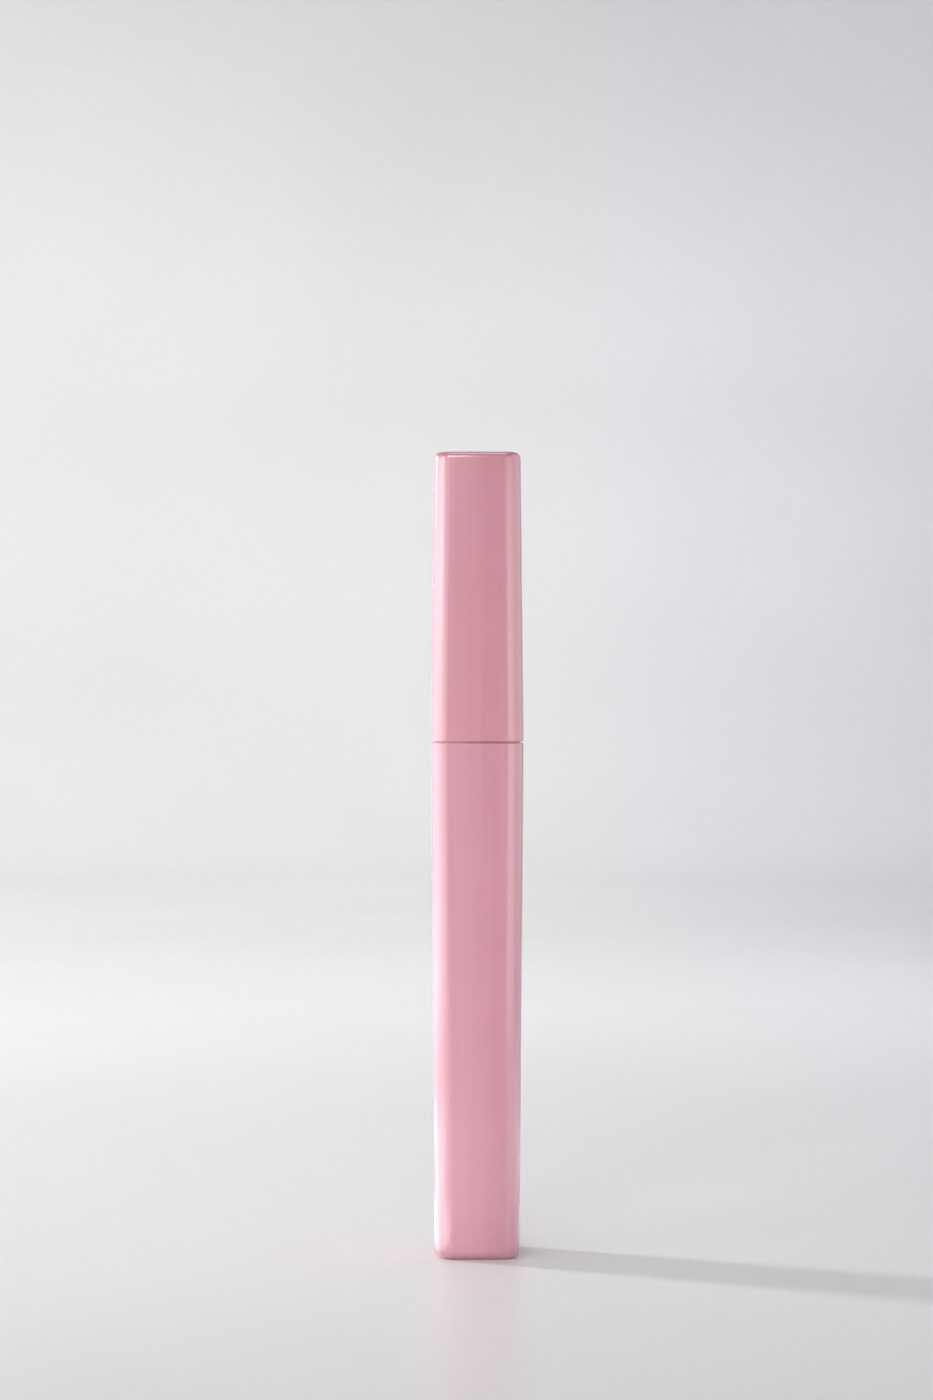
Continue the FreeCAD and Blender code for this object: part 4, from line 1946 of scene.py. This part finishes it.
@dataclass
class Studio:
    """The pale sheet, the lights and the camera, in metres."""

    floor_radius: float = 0.95
    floor_sides: int = 128
    cove_radius: float = 0.30
    cove_steps: int = 16
    wall_height: float = 1.1
    sheet_smooth_angle: float = 40.0
    ambient: Colour = (0.0, 0.0, 0.0)
    camera_place: Place = (-0.0016, -0.4566, 0.0831)
    lens: float = 78.1
    sensor: float = 36.0
    sight: Range = (0.01, 10.0)
    # round_tube takes a bearing, distance, level, width, height and power, and on_floor takes the
    # left, right, near and far end and the power. Lights at a place take their size before their power.
    lights: tuple[SoftLight, ...] = (
        round_tube("key", 114, 0.6, 0.26, 0.06, 0.10, 2.40, tilt=20),
        round_tube("second", 60, 0.6, 0.26, 0.3, 0.3, 0.52, tilt=20),
        round_tube("front_fill", 15, 1.1, 0.6, 0.5, 0.6, 3.73, tilt=20),
        round_tube("front_low", 0, 0.9, 0.06, 0.5, 0.12, 0.021),
        round_tube("right_side", -90, 0.4, 0.31, 0.2, 0.6, 0.302),
        round_tube("right_back", -122, 0.6, 0.31, 0.2, 0.6, 0.244),
        SoftLight("overhead", (0.0, -0.03, 0.6), (0.0, -0.03, 0.0), 0.3, 0.3, 0.546),
        on_floor("floor_near", -0.06, -0.0085, -0.035, -0.003, 0.0064),
        on_floor("floor_near_back", -0.06, -0.0085, -0.003, 0.04, 0.0066),
        on_floor("floor_middle", -0.14, -0.06, -0.09, 0.0, 0.0320),
        on_floor("floor_middle_back", -0.14, -0.06, 0.0, 0.12, 0.0360),
        on_floor("floor_front", -0.12, -0.02, -0.15, -0.05, 0.0148),
        on_floor("floor_right_near", 0.012, 0.05, -0.03, 0.03, 0.0014),
        on_floor("floor_right", 0.05, 0.24, -0.10, 0.08, 0.0534),
        SoftLight("far_floor", (-0.35, 0.75, 0.7), (-0.2, 0.75, 0), 0.4, 0.4, 0.226, spread=100),
        SoftLight("far_floor_middle", (0.1, 0.85, 0.5), (0.05, 0.95, 0), 0.3, 0.3, 0.226, spread=100),
        SoftLight("middle_floor", (-0.15, 0.35, 0.5), (-0.1, 0.35, 0), 0.2, 0.2, 0.110, spread=90),
        SoftLight("middle_floor_right", (0.15, 0.4, 0.5), (0.1, 0.4, 0), 0.2, 0.2, 0.221, spread=90),
        SoftLight("wall_left", (-0.75, 0.35, 0.45), (-0.1, 1.25, 0.2), 0.5, 0.5, 2.75, spread=100),
    )
    bank_distance: float = 0.27
    bank_level: float = 0.075
    bank_height: float = 0.15
    bank_spread: float = 80.0
    bank: tuple[Panel, ...] = (
        Panel(122, 0.066, 0.0105), Panel(108, 0.066, 0.0060), Panel(94, 0.066, 0.0140),
        Panel(80, 0.066, 0.0146), Panel(66, 0.066, 0.0122), Panel(54, 0.05, 0.0062),
        Panel(44, 0.05, 0.0075), Panel(33, 0.05, 0.0048), Panel(22, 0.05, 0.0036),
        Panel(-22, 0.07, 0.0050), Panel(-36, 0.07, 0.0080), Panel(-50, 0.07, 0.0066),
        Panel(-64, 0.07, 0.0066), Panel(-80, 0.07, 0.0008), Panel(-112, 0.07, 0.0029),
    )

    def make(self) -> None:
        """Sets up the studio."""
        self.make_sheet()
        for light in self.lights:
            light.set_up()
        for panel in self.bank:
            round_tube(
                f"panel_{panel.bearing}", panel.bearing, self.bank_distance, self.bank_level, panel.width,
                self.bank_height, panel.power, spread=self.bank_spread,
            ).set_up()
        self.make_world()
        self.make_camera()

    def make_sheet(self) -> None:
        """The round pale sheet: a floor that curves up into a wall all round."""
        bpy.ops.object.select_all(action="DESELECT")
        bpy.ops.mesh.primitive_circle_add(
            vertices=self.floor_sides, radius=self.floor_radius, fill_type="NGON"
        )
        sheet = added("pale_sheet")
        with editing(sheet):
            pick(sheet, Element.EDGE, lambda edge: True)
            angles = [QUARTER_TURN * k / self.cove_steps for k in range(self.cove_steps + 1)]
            for before, after in zip(angles, angles[1:]):
                start, end = (self.floor_radius + self.cove_radius * math.sin(a) for a in (before, after))
                extrude_by(UP * self.cove_radius * (math.cos(before) - math.cos(after)))
                scale_level(end / start, 0)
            extrude_by(UP * self.wall_height)
            bpy.ops.mesh.select_all(action="SELECT")
            bpy.ops.mesh.normals_make_consistent(inside=True)
        bpy.ops.object.shade_smooth_by_angle(angle=math.radians(self.sheet_smooth_angle))
        sheet.data.materials.append(PaleSheet().material())

    def make_world(self) -> None:
        """The room, whose only light comes from the lamps."""
        world = bpy.data.worlds.new("room")
        world.use_nodes = True
        background = world.node_tree.nodes["Background"]
        background.inputs["Color"].default_value = with_alpha(self.ambient)
        background.inputs["Strength"].default_value = 1.0
        bpy.context.scene.world = world

    def make_camera(self) -> None:
        """The camera, level and square to the tube's front."""
        data = bpy.data.cameras.new("camera")
        data.lens, data.sensor_width = self.lens, self.sensor
        data.clip_start, data.clip_end = self.sight
        camera = bpy.data.objects.new("camera", data)
        bpy.context.scene.collection.objects.link(camera)
        camera.location = self.camera_place
        camera.rotation_euler = (QUARTER_TURN, 0, 0)
        bpy.context.scene.camera = camera
        bpy.context.scene.view_settings.view_transform = "Standard"


def main() -> None:
    """Builds the tube round its construction and sets up the studio."""
    logging.basicConfig(level=logging.INFO, format="%(name)s: %(message)s")
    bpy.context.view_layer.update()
    body, cap = node_span("body_shell"), node_span("cap_shell")
    Body(
        Rides.BOTTLE, "tube_body", closed_half=6.375, closed_level=body.low, rim_half=body.half,
        rim_level=body.high - Body.lip_rise, wall=1.2, end_thickness=1.6, end_rounding=1.3,
    ).make()
    Cap(
        Rides.CAP, "tube_cap", closed_half=6.55, closed_level=cap.high, rim_half=cap.half, rim_level=cap.low,
        wall=1.2, end_thickness=1.5, end_rounding=0.9,
    ).make()
    Bottle(Rides.BOTTLE).make()
    Collar(Rides.BOTTLE).make()
    Wiper(Rides.BOTTLE).make()
    Washer(Rides.WASHER).make()
    InnerCap(Rides.CAP).make()
    Wand(Rides.CAP).make()
    Brush(Rides.CAP).make()
    Studio().make()


if __name__ == "__main__":
    main()
